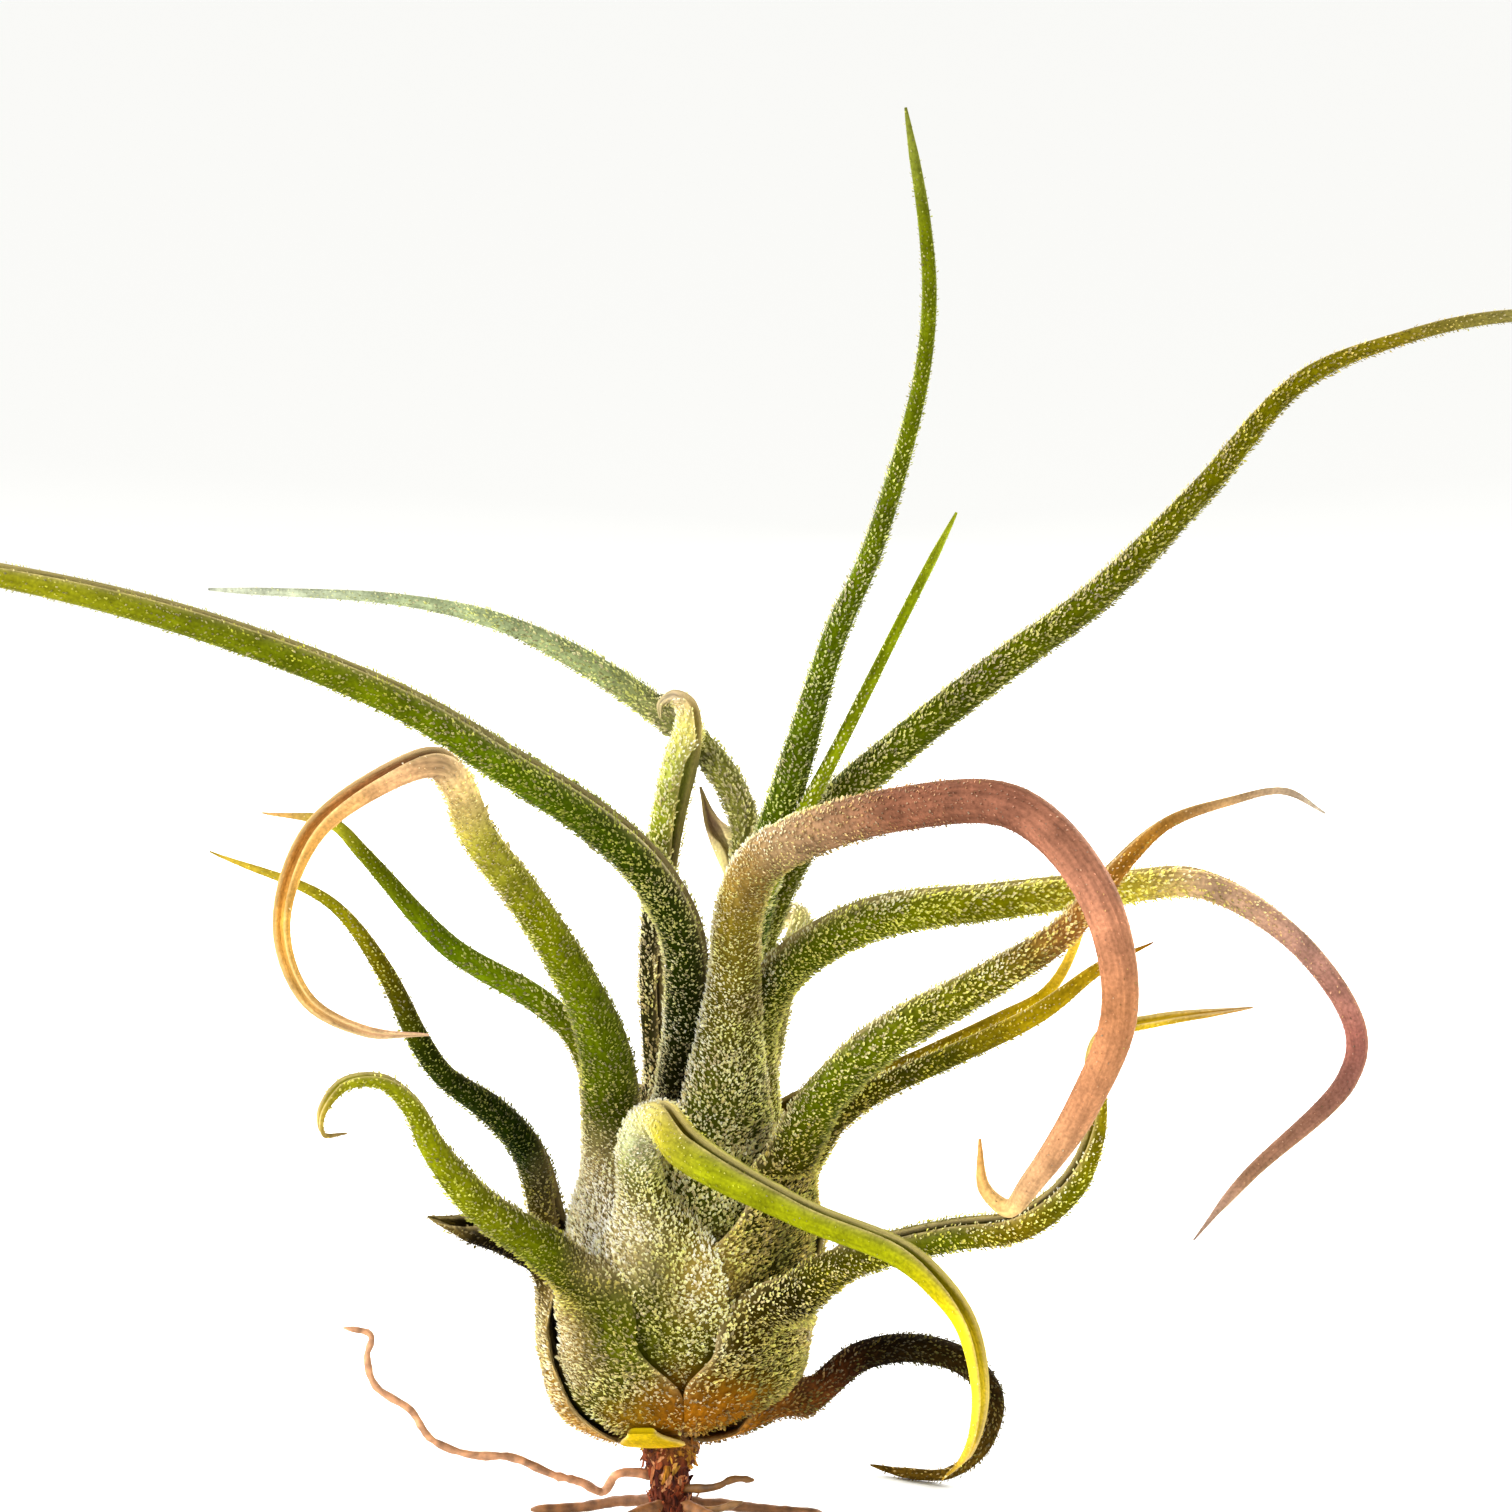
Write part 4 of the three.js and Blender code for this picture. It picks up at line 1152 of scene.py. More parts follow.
def blade_sections(leaf):
    """A leaf's rolled blade, along its route."""
    route = np.array(leaf["route"], float)
    line = route[:, :3]
    shares = steps_along(leaf, line, BLADE_STEP, BLADE_TURN)
    middles = spline(line, shares)
    widths = np.maximum(spline(route[:, 3:], shares, WIDTH_TENSION)[:, 0], LEAST_WIDTH)
    left = np.linalg.norm(middles - middles[-1], axis=1)
    widths = lerp(POINT_WIDTH, widths, np.minimum(left / POINT_STRETCH, 1) ** POINT_BULGE)
    inward = -facing(leaf["towards"] + leaf.get("veer", 0))
    turned = 0
    sections = []
    for share, middle, way, width in zip(shares, middles, spline_ways(line, shares), widths):
        radius = width / 2
        twist = twist_at(leaf, share)
        inward = turned_round(square(inward, way), way, twist - turned)
        turned = twist
        roll = roll_of(radius, leaf["flat"])
        place = share * (len(route) - 1)
        sections.append(Section(middle - inward * radius, way, inward, radius, roll, 0, way, place))
    return sections


def join_sections(start, end):
    """Sections that lead from the bulb into the blade, rolling up on the way."""
    distance = np.linalg.norm(end.rib - start.rib)
    steps = max(FEWEST_JOIN_RINGS, round(distance / JOIN_STEP))
    sections = []
    for t in np.arange(1, steps) / steps:
        rib = start.rib * (1 + 2 * t) * (1 - t) ** 2 + end.rib * t * t * (3 - 2 * t)
        rib = rib + start.onward * distance * t * (1 - t) ** 2 - end.onward * distance * t * t * (1 - t)
        way = unit(lerp(start.way, end.way, t))
        inward = lerp(start.inward, end.inward, t)
        radius = 1 / lerp(1 / start.radius, 1 / end.radius, t * t)
        half = lerp(start.roll * start.radius, end.roll * end.radius, t)
        roll = min(ROLL, half / radius)
        slope = lerp(start.slope, end.slope, t)
        sections.append(Section(rib, way, inward, radius, roll, slope, way, t - 1))
    return sections


def sections_of(leaf):
    base = base_sections(leaf)
    if "route" not in leaf:
        return base
    blade = blade_sections(leaf)
    return base + join_sections(base[-1], blade[0]) + blade


def section_points(made):
    """The outer side from margin to margin, and then the thinner inner side back again."""
    across = np.cross(made.way, made.inward)
    middle = made.rib + made.inward * made.radius
    thickness = thickness_of(made.radius)

    def ring(shares, depths):
        angles = shares * made.roll
        outward = np.outer(np.sin(angles), across) - np.outer(np.cos(angles), made.inward)
        sunk = np.minimum(depths * math.cos(made.slope), made.radius * (1 - BORE_SHARE))
        rise = np.outer(depths * math.sin(made.slope), made.way)
        return middle + outward * (made.radius - sunk)[:, None] + rise

    outer_shares = np.linspace(-1, 1, OUTER_POINTS)
    rounding = ROUNDED_BY * MARGIN_THINNING * thickness * rounded_off(outer_shares)
    outer = ring(outer_shares, rounding)
    inner_shares = np.linspace(1, -1, INNER_POINTS)
    thinned = thickness * (1 - MARGIN_THINNING * inner_shares**MARGIN_TAPER)
    inner = ring(inner_shares * INNER_REACH, thinned)
    return outer, inner


def rounded_off(shares):
    """How far a leaf's margin is rounded off, at these shares of its half width."""
    return np.clip((np.abs(shares) - ROUNDED_FROM) / (1 - ROUNDED_FROM), 0, 1) ** 2


def tints_at(looks, places, column):
    """The colours at these places of a leaf, between those of its looks."""
    stops = [look[0] for look in looks]
    colours = np.array([linear(look[column]) for look in looks])
    return np.stack([np.interp(places, stops, colours[:, k]) for k in range(3)], 1)


def shown(name, points, faces, material, replaced=None):
    """A piece of the plant, with its points in millimetres and none below the ground."""
    points = np.array(points)
    points[:, 2] = np.maximum(points[:, 2], 0)
    mesh = bpy.data.meshes.new(name)
    mesh.from_pydata(points * MM, [], faces)
    mesh.materials.append(material)
    mesh.polygons.foreach_set("use_smooth", np.ones(len(mesh.polygons), bool))
    piece = bpy.data.objects.new(name, mesh)
    bpy.context.collection.objects.link(piece)
    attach(piece, "root")
    if replaced:
        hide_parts(replaced)
    return piece


def paint(piece, name, colours):
    """Writes linear colours, one for each point, to the piece."""
    alpha = np.ones((len(colours), 1))
    layer = piece.data.color_attributes.new(name, "FLOAT_COLOR", "POINT")
    layer.data.foreach_set("color", np.hstack([colours, alpha]).astype(np.float32).ravel())


def note(piece, name, vectors):
    """Writes a vector for each point to the piece, for its material's patterns."""
    layer = piece.data.attributes.new(name, "FLOAT_VECTOR", "POINT")
    layer.data.foreach_set("vector", np.asarray(vectors, np.float32).ravel())


def loft_faces(rings, around):
    """Quads between rings of this many points, each ring closed."""
    ring, step = np.meshgrid(np.arange(rings - 1), np.arange(around), indexing="ij")
    a = ring * around + step
    b = ring * around + (step + 1) % around
    return np.stack([a, b, b + around, a + around], -1).reshape(-1, 4)


def strip_caps(rings, outer, inner):
    """Quads that close a leaf's two ends, between its outer and its inner side."""
    around = outer + inner
    faces = []
    for start, turned in ((0, True), ((rings - 1) * around, False)):
        inner_of = [round(k * (inner - 1) / (outer - 1)) for k in range(outer)]
        for k in range(outer - 1):
            a = start + k
            b = start + k + 1
            c = start + around - 1 - inner_of[k + 1]
            d = start + around - 1 - inner_of[k]
            face = [a, b, c] if c == d else [a, b, c, d]
            faces.append(face if turned else face[::-1])
    return faces


# Materials

def node(tree, kind, links=None, **settings):
    """Adds a node. links go to its inputs, and settings are its properties, or inputs by number, as in_3."""
    made = tree.nodes.new(kind)
    for key, value in settings.items():
        if key.startswith("in_"):
            made.inputs[int(key[3:])].default_value = value
        else:
            setattr(made, key, value)
    for place, source in (links or {}).items():
        tree.links.new(source, made.inputs[place])
    return made


def new_material(name, roughness, **sockets):
    """A material with its name, its shader and what is set on the shader's own sockets."""
    material = bpy.data.materials.new(name)
    material.use_nodes = True
    tree = material.node_tree
    shader = tree.nodes["Principled BSDF"]
    shader.inputs["Roughness"].default_value = roughness
    for key, value in sockets.items():
        shader.inputs[key.replace("_", " ")].default_value = value
    return material, tree, shader


def leaf_skin(name, roughness, mottling, ridge):
    """Succulent leaf skin, as it grew: the eye sees a matt colour that is mottled and veined lengthwise.

    Patterns lie in the leaf's own millimetres: across it in x and along it in y.
    """
    material, tree, shader = new_material(name, roughness, Specular_IOR_Level=0.01)
    tint = node(tree, "ShaderNodeAttribute", attribute_name="tint")
    flat = node(tree, "ShaderNodeAttribute", attribute_name="leaf_mm")
    # Mottling: patches of about 3 mm, and grains of about 0.4 mm
    patches = node(tree, "ShaderNodeTexNoise", {"Vector": flat.outputs["Vector"]}, in_2=0.33, in_3=3)
    grain = node(tree, "ShaderNodeTexNoise", {"Vector": flat.outputs["Vector"]}, in_2=2.6, in_3=2)
    # Veins: lines about 0.5 mm apart that run along the leaf
    stretched = node(
        tree, "ShaderNodeMapping", {"Vector": flat.outputs["Vector"]}, in_3=(2.0, 0.09, 1)
    )
    veins = node(tree, "ShaderNodeTexNoise", {"Vector": stretched.outputs[0]}, in_2=1, in_3=2)
    light = node(tree, "ShaderNodeMapRange", {"Value": patches.outputs[0]}, in_1=0.3, in_2=0.7,
                 in_3=1 - mottling, in_4=1 + mottling)
    fine = node(tree, "ShaderNodeMapRange", {"Value": grain.outputs[0]}, in_1=0.3, in_2=0.7,
                in_3=1 - mottling * 0.8, in_4=1 + mottling * 0.8)
    lines = node(tree, "ShaderNodeMapRange", {"Value": veins.outputs[0]}, in_1=0.35, in_2=0.65,
                 in_3=1 - mottling * 0.6, in_4=1 + mottling * 0.5)
    both = node(tree, "ShaderNodeMath", {0: light.outputs[0], 1: fine.outputs[0]}, operation="MULTIPLY")
    total = node(tree, "ShaderNodeMath", {0: both.outputs[0], 1: lines.outputs[0]}, operation="MULTIPLY")
    colour = node(
        tree, "ShaderNodeVectorMath", {0: tint.outputs["Color"], 3: total.outputs[0]}, operation="SCALE"
    )
    tree.links.new(colour.outputs[0], shader.inputs["Base Color"])
    bump = node(tree, "ShaderNodeBump", {"Height": veins.outputs[0]}, in_0=ridge, in_1=0.0002)
    pores = node(
        tree, "ShaderNodeBump", {"Height": grain.outputs[0], "Normal": bump.outputs[0]},
        in_0=ridge * 0.8, in_1=0.00015,
    )
    tree.links.new(pores.outputs[0], shader.inputs["Normal"])
    return material


def scale_material():
    """Dry leaf scale, a thin silvery flake: bright and matt, and some light comes through it from behind."""
    material, tree, shader = new_material("dry_silvery_scale", 0.7, Specular_IOR_Level=0.04, Sheen_Weight=0.2)
    tint = node(tree, "ShaderNodeAttribute", attribute_name="tint")
    tree.links.new(tint.outputs["Color"], shader.inputs["Base Color"])
    through = node(tree, "ShaderNodeBsdfTranslucent", {"Color": tint.outputs["Color"]})
    mixed = node(tree, "ShaderNodeMixShader", {1: shader.outputs[0], 2: through.outputs[0]}, in_0=0.4)
    tree.links.new(mixed.outputs[0], tree.nodes["Material Output"].inputs["Surface"])
    return material


def bark_material():
    """Fibrous bark of an old stem: dark red-brown, matt, in loose strands with paler ends."""
    material, tree, shader = new_material("fibrous_bark", 0.85, Specular_IOR_Level=0.2)
    place = node(tree, "ShaderNodeTexCoord")
    tint = node(tree, "ShaderNodeAttribute", attribute_name="tint")
    # Strands about 0.3 mm wide, upright
    stretched = node(
        tree, "ShaderNodeMapping", {"Vector": place.outputs["Object"]}, in_3=(3000, 3000, 500)
    )
    strands = node(tree, "ShaderNodeTexNoise", {"Vector": stretched.outputs[0]}, in_2=1, in_3=3)
    shade = node(tree, "ShaderNodeMapRange", {"Value": strands.outputs[0]}, in_1=0.3, in_2=0.7,
                 in_3=0.35, in_4=1.5)
    colour = node(
        tree, "ShaderNodeVectorMath", {0: tint.outputs["Color"], 3: shade.outputs[0]}, operation="SCALE"
    )
    tree.links.new(colour.outputs[0], shader.inputs["Base Color"])
    bump = node(tree, "ShaderNodeBump", {"Height": strands.outputs[0]}, in_0=0.9, in_1=0.0004)
    tree.links.new(bump.outputs[0], shader.inputs["Normal"])
    return material


def root_material():
    """Wiry root with a thin papery skin: tan to brown, with darker rings and a dull sheen."""
    material, tree, shader = new_material("wiry_root", 0.6, Specular_IOR_Level=0.35)
    place = node(tree, "ShaderNodeTexCoord")
    tint = node(tree, "ShaderNodeAttribute", attribute_name="tint")
    # Blotches of about 1.2 mm over grain of about 0.25 mm
    blotches = node(tree, "ShaderNodeTexNoise", {"Vector": place.outputs["Object"]}, in_2=850, in_3=4)
    shade = node(tree, "ShaderNodeMapRange", {"Value": blotches.outputs[0]}, in_1=0.32, in_2=0.68,
                 in_3=0.5, in_4=1.3)
    colour = node(
        tree, "ShaderNodeVectorMath", {0: tint.outputs["Color"], 3: shade.outputs[0]}, operation="SCALE"
    )
    tree.links.new(colour.outputs[0], shader.inputs["Base Color"])
    bump = node(tree, "ShaderNodeBump", {"Height": blotches.outputs[0]}, in_0=0.6, in_1=0.0003)
    tree.links.new(bump.outputs[0], shader.inputs["Normal"])
    return material


def floor_material():
    """Matt studio paper, nearly white."""
    material, tree, shader = new_material("studio_paper", 0.9, Specular_IOR_Level=0.2)
    place = node(tree, "ShaderNodeTexCoord")
    # Paper tooth of about 1.5 mm
    tooth = node(tree, "ShaderNodeTexNoise", {"Vector": place.outputs["Object"]}, in_2=650, in_3=2)
    shade = node(tree, "ShaderNodeMapRange", {"Value": tooth.outputs[0]}, in_3=0.985, in_4=1.0)
    colour = node(
        tree, "ShaderNodeVectorMath", {3: shade.outputs[0]}, in_0=tuple(linear(0xFAFAF7)), operation="SCALE"
    )
    tree.links.new(colour.outputs[0], shader.inputs["Base Color"])
    return material


# Leaves and their scales

def leaf_mesh(leaf, material):
    """One leaf as a closed mesh. Returns the piece and what its scales need."""
    made = sections_of(leaf)
    rings = [section_points(one) for one in made]
    outer = np.array([ring[0] for ring in rings])
    inner = np.array([ring[1] for ring in rings])
    count, around = len(made), OUTER_POINTS + INNER_POINTS
    points = np.concatenate([outer, inner], 1).reshape(-1, 3)
    faces = loft_faces(count, around).tolist() + strip_caps(count, OUTER_POINTS, INNER_POINTS)
    piece = shown(leaf["name"], points, faces, material, leaf["name"])
    places = np.array([one.place for one in made])
    skin = tints_at(leaf["looks"], places, 1)
    steps = np.linalg.norm(np.diff([one.rib for one in made], axis=0), axis=1)
    along = np.concatenate([[0], np.cumsum(steps)])
    shares = np.concatenate([np.linspace(-1, 1, OUTER_POINTS), np.linspace(1, -1, INNER_POINTS)])
    halves = np.array([one.roll * one.radius for one in made])
    across = np.outer(halves, shares)
    across[:, OUTER_POINTS:] += INNER_SHIFT
    onward = np.repeat(along[:, None], around, 1)
    flat = np.stack([across, onward, np.full(across.shape, leaf["towards"])], -1)
    note(piece, "leaf_mm", flat.reshape(-1, 3))
    rim = (np.abs(shares) ** MARGIN_NARROWNESS * MARGIN_PALENESS)[None, :, None]
    # The inner side of the roll is painted darker here, as painted shade
    shade = np.where(np.arange(around) < OUTER_POINTS, 1, INNER_PAINTED_SHADE)[None, :, None]
    tints = skin[:, None] * shade * (1 - rim) + linear(MARGIN_PALE) * rim
    tints = tints.reshape(-1, 3)
    # The rest of an old base, which has no blade, keeps its own yellow
    if "route" in leaf:
        for mark, share in zip(MARKS, marks_at(points)):
            tints = lerp(tints, linear(mark["skin"]), share[:, None])
    paint(piece, "tint", tints)
    return piece, outer, places


def marks_at(points):
    """How strongly each mark shows at these points, a row for each mark."""
    rows = []
    for mark in MARKS:
        away = np.linalg.norm(points - np.array(mark["at"]), axis=-1)
        rows.append(np.clip(MARK_EDGE - MARK_EDGE * away / mark["reach"], 0, 1))
    return rows


def density_at(leaf, places):
    """How many scales a square millimetre has at these places of a leaf."""
    return np.interp(places, [look[0] for look in leaf["looks"]], [look[3] for look in leaf["looks"]])


def patches(points, rng):
    """Soft random patches, from about -1 to 1, at these points."""
    total = np.zeros(len(points))
    for wave in range(PATCH_WAVES):
        ahead = rng.normal(0, 1, 3)
        ahead *= 2 * math.pi / rng.uniform(*PATCH_WIDTH) / np.linalg.norm(ahead)
        total += np.sin(points @ ahead + rng.uniform(0, 2 * math.pi))
    return total / math.sqrt(PATCH_WAVES)


def scale_places(leaf, outer, places, rng):
    """Scattered points on a leaf's outer side.

    Each comes with the way along the leaf, its normal, its place in the leaf, and how near it is to a margin.
    """
    down = density_at(leaf, places) * SCALE_CROWDING
    onward = np.diff(outer, axis=0)
    across = np.diff(outer, axis=1)
    widths = np.linalg.norm(across, axis=2).sum(1)
    lengths = np.linalg.norm(onward, axis=2).mean(1)
    areas = (widths[1:] + widths[:-1]) / 2 * lengths * (down[1:] + down[:-1]) / 2
    total = np.concatenate([[0], np.cumsum(areas)])
    count = int(total[-1])
    k = np.arange(count)
    row = np.interp((k + rng.random(count)) / count * total[-1], total, np.arange(len(total)))
    column = (k * GOLDEN + rng.normal(0, SCALE_SCATTER, count)) % 1 * (OUTER_POINTS - 1)
    i = np.minimum(row.astype(int), len(outer) - 2)
    j = np.minimum(column.astype(int), OUTER_POINTS - 2)
    s = (row - i)[:, None]
    t = (column - j)[:, None]
    a, b, c, d = outer[i, j], outer[i, j + 1], outer[i + 1, j], outer[i + 1, j + 1]
    at = (a * (1 - t) + b * t) * (1 - s) + (c * (1 - t) + d * t) * s
    way = (c - a) * (1 - t) + (d - b) * t
    side = (b - a) * (1 - s) + (d - c) * s
    way /= np.linalg.norm(way, axis=1)[:, None]
    normal = np.cross(way, side)
    normal /= np.linalg.norm(normal, axis=1)[:, None]
    beside = np.abs(2 * column / (OUTER_POINTS - 1) - 1)
    return at, way, normal, np.interp(row, np.arange(len(places)), places), beside


def scale_corners(found, size, rng):
    """Four corners for each flake: its foot, one side of its waist, its tip and the other side."""
    at, way, normal = found[:3]
    count = len(at)
    side = np.cross(way, normal)
    swing = np.radians(rng.normal(0, SCALE_SWING, count))[:, None]
    lift = np.radians(rng.uniform(*SCALE_RISE, count))[:, None]
    length = (rng.uniform(*SCALE_LENGTH, count) * size)[:, None]
    level = way * np.cos(swing) + side * np.sin(swing)
    across = side * np.cos(swing) - way * np.sin(swing)
    out = level * np.cos(lift) + normal * np.sin(lift)
    face = normal * np.cos(lift) - level * np.sin(lift)
    half = length * SCALE_WIDTH / 2 * rng.uniform(*WIDTH_VARIES, count)[:, None]
    foot = at - normal * SCALE_SUNK
    tip = foot + out * length
    waist = foot + out * length * SCALE_WAIST + face * SCALE_FOLD * length
    return np.stack([foot, waist + across * half, tip, waist - across * half], 1).reshape(-1, 3)


def scale_tints(leaf, found, grown_out, rng):
    """A colour for each flake, from its leaf's looks, the marks, and how it varies."""
    at, way, normal, places, beside = found
    count = len(at)
    margin = np.clip((beside - MARGIN_FROM) / (MARGIN_TO - MARGIN_FROM), 0, 1)
    # Painted light: flakes that face the light side are painted brighter and creamier
    painted_lit = normal @ PAINTED_LIGHT_WAY
    shade = rng.uniform(*SCALE_SHADES, count) * (1 + PATCH_SHADE * patches(at, rng))
    # Near the margins the flakes are brighter: partly paler scales, partly painted rim light
    shade *= lerp(1, MARGIN_PALER_AND_RIM_LIGHT, margin)
    shade *= 1 + PAINTED_SIDE_LIGHT * painted_lit
    cream = PATCH_TINT * patches(at, rng) + FLAKE_TINT * rng.normal(0, 1, count)
    cream += MARGIN_CREAM * margin + PAINTED_SIDE_CREAM * painted_lit
    tints = tints_at(leaf["looks"], places, 2)
    bare = tints_at(leaf["looks"], places, 1) * SPARSE_SHADE
    tints = lerp(bare, tints, grown_out[:, None])
    for mark, share in zip(MARKS, marks_at(at)):
        shade *= lerp(1, mark["shade"], share)
        cream += mark["cream"] * share
        tints = lerp(tints, linear(mark["skin"]) * SPARSE_SHADE, share[:, None] * (1 - mark["kept"]))
    light = tints.sum(1)[:, None]
    cream = np.clip(cream, -MOST_TINT, MOST_TINT)[:, None]
    for colour, share in ((CREAM, cream), (GREEN, -cream)):
        other = linear(colour) / linear(colour).sum() * light
        tints = lerp(tints, other, np.maximum(share, 0))
    return tints * shade[:, None]


def scale_mesh(leaf, found, material, rng):
    """The leaf's scales, each a flake of two triangles that meet in a fold."""
    places = found[3]
    count = len(places)
    grown_out = np.minimum(density_at(leaf, places) / FULL_SIZE_FROM, 1)
    size = lerp(SPARSE_SIZE, 1, grown_out) * lerp(1, BLADE_SIZE, np.clip(places + 1, 0, 1))
    points = scale_corners(found, size, rng)
    first = np.arange(count)[:, None] * 4
    faces = np.concatenate([first + [0, 1, 2], first + [0, 2, 3]])
    piece = shown(leaf["name"].replace("leaf", "scales"), points, faces, material)
    piece.data.polygons.foreach_set("use_smooth", np.zeros(len(faces), bool))
    # Painted shade at each flake's foot and a painted highlight at its tip
    steps = np.tile([PAINTED_FOOT_SHADE, 1, PAINTED_TIP_HIGHLIGHT, 1], count)
    tints = np.repeat(scale_tints(leaf, found, grown_out, rng), 4, 0) * steps[:, None]
    paint(piece, "tint", np.clip(tints, 0, BRIGHTEST))
    lay_out(piece, count)


def lay_out(piece, count):
    """Gives each flake a cell of its own in a square map, for its colour."""
    cells = math.ceil(math.sqrt(count))
    corners = np.array(FLAKE_CORNERS)
    point = np.empty(len(piece.data.loops), np.int32)
    piece.data.loops.foreach_get("vertex_index", point)
    flake = point // 4
    places = (np.stack([flake % cells, flake // cells], 1) + corners[point % 4]) / cells
    piece.data.uv_layers.new(name="OFBake").data.foreach_set("uv", places.astype(np.float32).ravel())


def open_to_view(cover, owners, found, own):
    """Which scales have no other leaf close over them. owners says whose each face of the cover is."""
    at, way, normal = found[:3]
    free = np.ones(len(at), bool)
    for k in range(len(at)):
        start = at[k] + normal[k] * OFF_THE_SKIN
        hit = cover.ray_cast(Vector(start), Vector(normal[k]), COVERED_WITHIN)
        if hit[2] is not None and owners[hit[2]] != own:
            free[k] = False
    return free


skins = {
    "fresh": leaf_skin("succulent_leaf_skin", 0.5, 0.28, 0.5),
    "withered": leaf_skin("withered_leaf_skin", 0.7, 0.5, 1.0),
}
scale_look = scale_material()

grown = []
all_points, all_faces, owners = [], [], []
for number, leaf in enumerate(LEAVES):
    kind = "withered" if leaf["name"] in WITHERED else "fresh"
    piece, outer, places = leaf_mesh(leaf, skins[kind])
    grown.append((leaf, outer, places))
    offset = sum(len(points) for points in all_points)
    all_points.append(np.array([vertex.co for vertex in piece.data.vertices]) / MM)
    polygons = [[v + offset for v in polygon.vertices] for polygon in piece.data.polygons]
    all_faces.extend(polygons)
    owners.extend([number] * len(polygons))
cover = BVHTree.FromPolygons(np.concatenate(all_points).tolist(), all_faces)

for number, (leaf, outer, places) in enumerate(grown):
    rng = np.random.default_rng(SCALE_SEED + number)
    found = scale_places(leaf, outer, places, rng)
    free = open_to_view(cover, owners, found, number)
    bald = rng.random(len(free)) < PATCH_BALDNESS * (1 - patches(found[0], rng)) / 2
    for mark, share in zip(MARKS, marks_at(found[0])):
        bald |= rng.random(len(free)) < share * (1 - mark["kept"])
    found = [part[free & ~bald] for part in found]
    scale_mesh(leaf, found, scale_look, rng)


# Stem and roots

def round_rings(line, radii, shares, sides, rough, rng):
    """Rings round a line, with a radius for each ring and a roughness as a share of it."""
    points = spline(line, shares)
    ways = spline_ways(line, shares)
    side = np.array([1.0, 0, 0]) if abs(ways[0][0]) < 0.9 else np.array([0, 1.0, 0])
    angles = np.arange(sides) * 2 * math.pi / sides
    rings = []
    for point, way, radius in zip(points, ways, radii):
        side = square(side, way)
        other = np.cross(way, side)
        spread = radius * (1 + rough * rng.normal(0, 1, sides))
        aside = np.outer(np.cos(angles) * spread, side)
        beyond = np.outer(np.sin(angles) * spread, other)
        rings.append(point + aside + beyond)
    return np.array(rings)


def tube(name, rings, tints, material):
    """A closed tube in the stem's place, through these rings, with a colour for each."""
    count, sides = rings.shape[:2]
    faces = loft_faces(count, sides).tolist()
    faces.append(list(range(sides))[::-1])
    faces.append([(count - 1) * sides + k for k in range(sides)])
    piece = shown(name, rings.reshape(-1, 3), faces, material, "stem_and_roots")
    paint(piece, "tint", np.repeat(tints, sides, 0))


bark = bark_material()
root_look = root_material()
stub_line = np.array(STUB, float)
stub_shares = np.linspace(0, 1, STUB_RINGS)
stub_radii = spline(stub_line[:, 3:], stub_shares, WIDTH_TENSION)[:, 0]
rng = np.random.default_rng(STUB_SEED)
stub_rings = round_rings(stub_line[:, :3], stub_radii, stub_shares, STUB_SIDES, STUB_ROUGHNESS, rng)
stub_looks = list(zip(STUB_TINT_PLACES, STUB_TINTS))
tube("stub_bark", stub_rings, tints_at(stub_looks, stub_shares, 1), bark)


def shred(z, angle, rng):
    """One loose shred of bark: a bent ribbon that hangs or stands off the stub, as two rows of points."""
    share = np.interp(z, stub_line[:, 2], np.linspace(0, 1, len(stub_line)))
    out = np.array([math.cos(angle), math.sin(angle), 0])
    across = np.array([-out[1], out[0], 0])
    root = spline(stub_line[:, :3], share)[0] + out * np.interp(share, stub_shares, stub_radii)
    length = rng.uniform(*SHRED_LENGTH)
    width = rng.uniform(*SHRED_WIDTH)
    lift = length * rng.uniform(*SHRED_LIFT)
    lean = rng.normal(0, SHRED_LEAN)
    upright = UP * math.cos(lean) + across * math.sin(lean)
    if rng.random() < SHREDS_DOWN:
        upright = -upright
    beside = np.cross(upright, out)
    steps = np.array(SHRED_STEPS)[:, None]
    middle = root - out * SHRED_SUNK + upright * (steps - SHRED_ROOT) * length + out * lift * steps**2
    half = beside * width / 2 * np.array(SHRED_WIDTHS)[:, None]
    cup = out * width * SHRED_CUP
    points = np.stack([middle - half, middle + cup, middle + half], 1).reshape(-1, 3)
    points[:, 2] = np.clip(points[:, 2], OFF_THE_GROUND, STUB[-1][2])
    return points


def bark_shreds():
    """The stub's shaggy bark: dark and red-brown shreds, and tan ones high up at its front right."""
    rng = np.random.default_rng(SHRED_SEED)
    row = np.array([[0, 1, 4, 3], [1, 2, 5, 4]])
    faces = np.concatenate([row, row + 3, row + 6])
    points, tints = [], []
    for k in range(SHREDS):
        z = rng.uniform(SHRED_FROM_GROUND, STUB[-1][2] - SHRED_FROM_TOP)
        angle = rng.uniform(-math.pi, math.pi)
        points.append(shred(z, angle, rng))
        tan = z > SHRED_TAN_FROM and abs(angle - SHRED_TAN_ANGLE) < SHRED_TAN_REACH
        palette = SHRED_TANS if tan else SHRED_BROWNS
        tint = linear(palette[rng.integers(len(palette))]) * rng.uniform(*SHRED_SHADES)
        tints.append(np.repeat(tint[None], len(points[-1]), 0))
    faces = np.concatenate([faces + 12 * k for k in range(SHREDS)])
    piece = shown("bark_shreds", np.concatenate(points), faces, bark)
    paint(piece, "tint", np.clip(np.concatenate(tints), 0, 1))


bark_shreds()

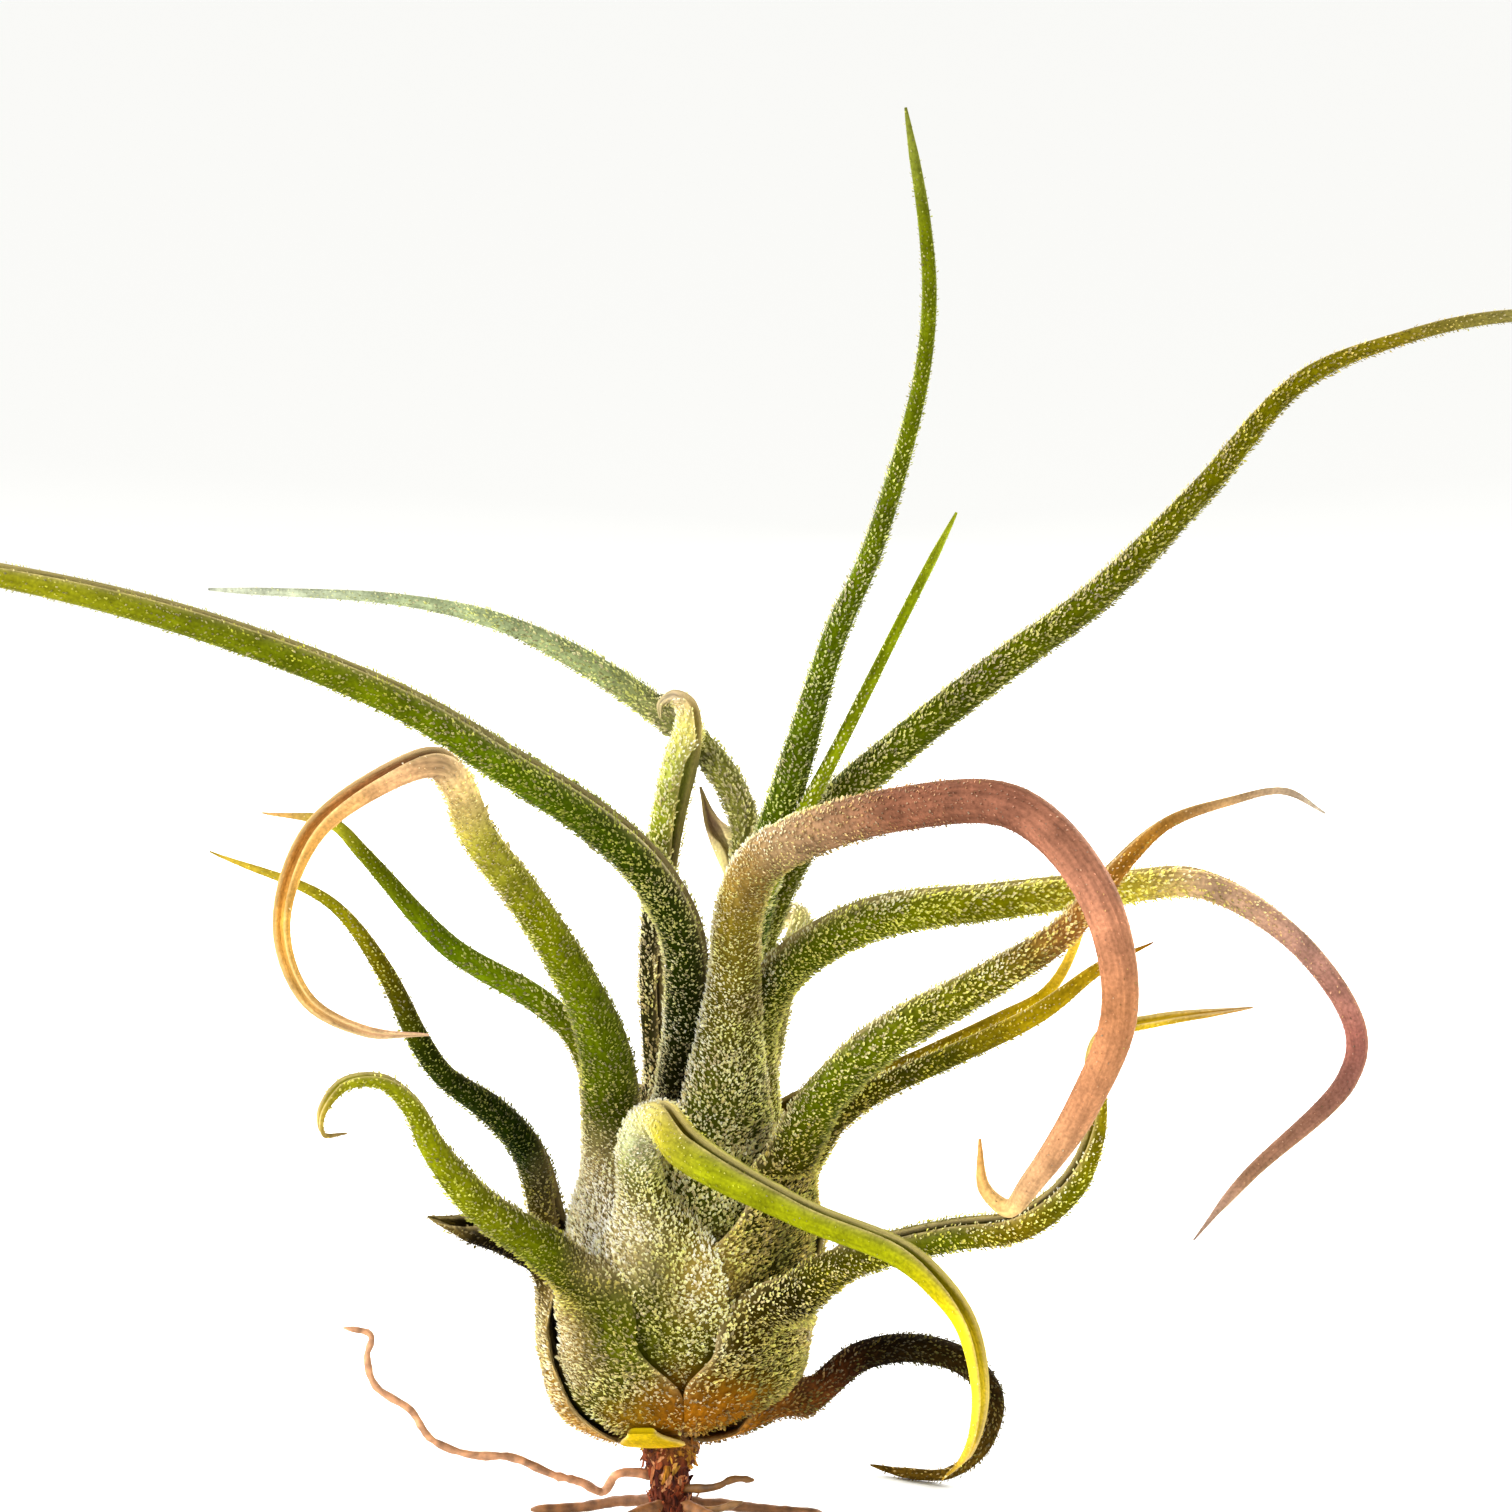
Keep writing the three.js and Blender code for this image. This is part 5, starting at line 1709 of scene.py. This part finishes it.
for number, root in enumerate(ROOTS):
    rng = np.random.default_rng(ROOT_SEED + number)
    line = np.array(root, float)
    length = np.linalg.norm(np.diff(line[:, :3], axis=0), axis=1).sum()
    shares = np.linspace(0, 1, max(FEWEST_ROOT_RINGS, round(length / ROOT_STEP)))
    radii = spline(line[:, 3:], shares, WIDTH_TENSION)[:, 0]
    radii *= 1 + ROOT_SWELLING * rng.normal(0, 1, len(shares))
    radii[-2:] *= ROOT_END
    rings = round_rings(line[:, :3], radii, shares, ROOT_SIDES, ROOT_ROUGHNESS, rng)
    rings[..., 2] = np.maximum(rings[..., 2], OFF_THE_GROUND)
    tints = linear(ROOT_TINTS[number]) * rng.uniform(*ROOT_SHADES, (len(shares), 1))
    tube(f"root_{number + 1}", rings, tints, root_look)


# Studio

def area_light(name, place, size, power):
    """A square white lamp at this place, turned towards the plant."""
    light = bpy.data.lights.new(name, "AREA")
    light.size = size * MM
    light.energy = power
    lamp = bpy.data.objects.new(name, light)
    lamp.location = Vector(place) * MM
    towards = Vector(LAMPS_FACE) * MM - lamp.location
    lamp.rotation_euler = towards.to_track_quat("-Z", "Y").to_euler()
    bpy.context.collection.objects.link(lamp)


floor_mesh = bpy.data.meshes.new("studio_floor")
half = FLOOR_HALF * MM
corners = [(-half, -half, 0), (half, -half, 0), (half, half, 0), (-half, half, 0)]
floor_mesh.from_pydata(corners, [], [(0, 1, 2, 3)])
floor_mesh.materials.append(floor_material())
floor = bpy.data.objects.new("studio_floor", floor_mesh)
bpy.context.collection.objects.link(floor)

sun = bpy.data.lights.new("key", "SUN")
sun.energy = KEY_POWER
sun.angle = KEY_SOFTNESS
key = bpy.data.objects.new("key", sun)
key.rotation_euler = Vector(KEY_WAY).to_track_quat("-Z", "Y").to_euler()
bpy.context.collection.objects.link(key)
for name, lamp in LAMPS.items():
    area_light(name, *lamp)

world = bpy.data.worlds.new("studio")
world.use_nodes = True
backdrop = world.node_tree.nodes["Background"]
backdrop.inputs["Color"].default_value = (1, 1, 1, 1)
backdrop.inputs["Strength"].default_value = ROOM_LIGHT
bpy.context.scene.world = world
bpy.context.scene.view_settings.view_transform = "Standard"

camera_data = bpy.data.cameras.new("camera")
camera_data.sensor_width = SENSOR
camera_data.lens = SENSOR * CAMERA_DISTANCE / FRAME_WIDTH
camera_data.clip_end = 2 * FLOOR_HALF * MM
camera = bpy.data.objects.new("camera", camera_data)
rise = math.radians(CAMERA_ELEVATION)
away = Vector((0, -math.cos(rise), math.sin(rise)))
camera.location = (Vector(TARGET) + away * CAMERA_DISTANCE) * MM
camera.rotation_euler = (-away).to_track_quat("-Z", "Y").to_euler()
bpy.context.collection.objects.link(camera)
bpy.context.scene.camera = camera
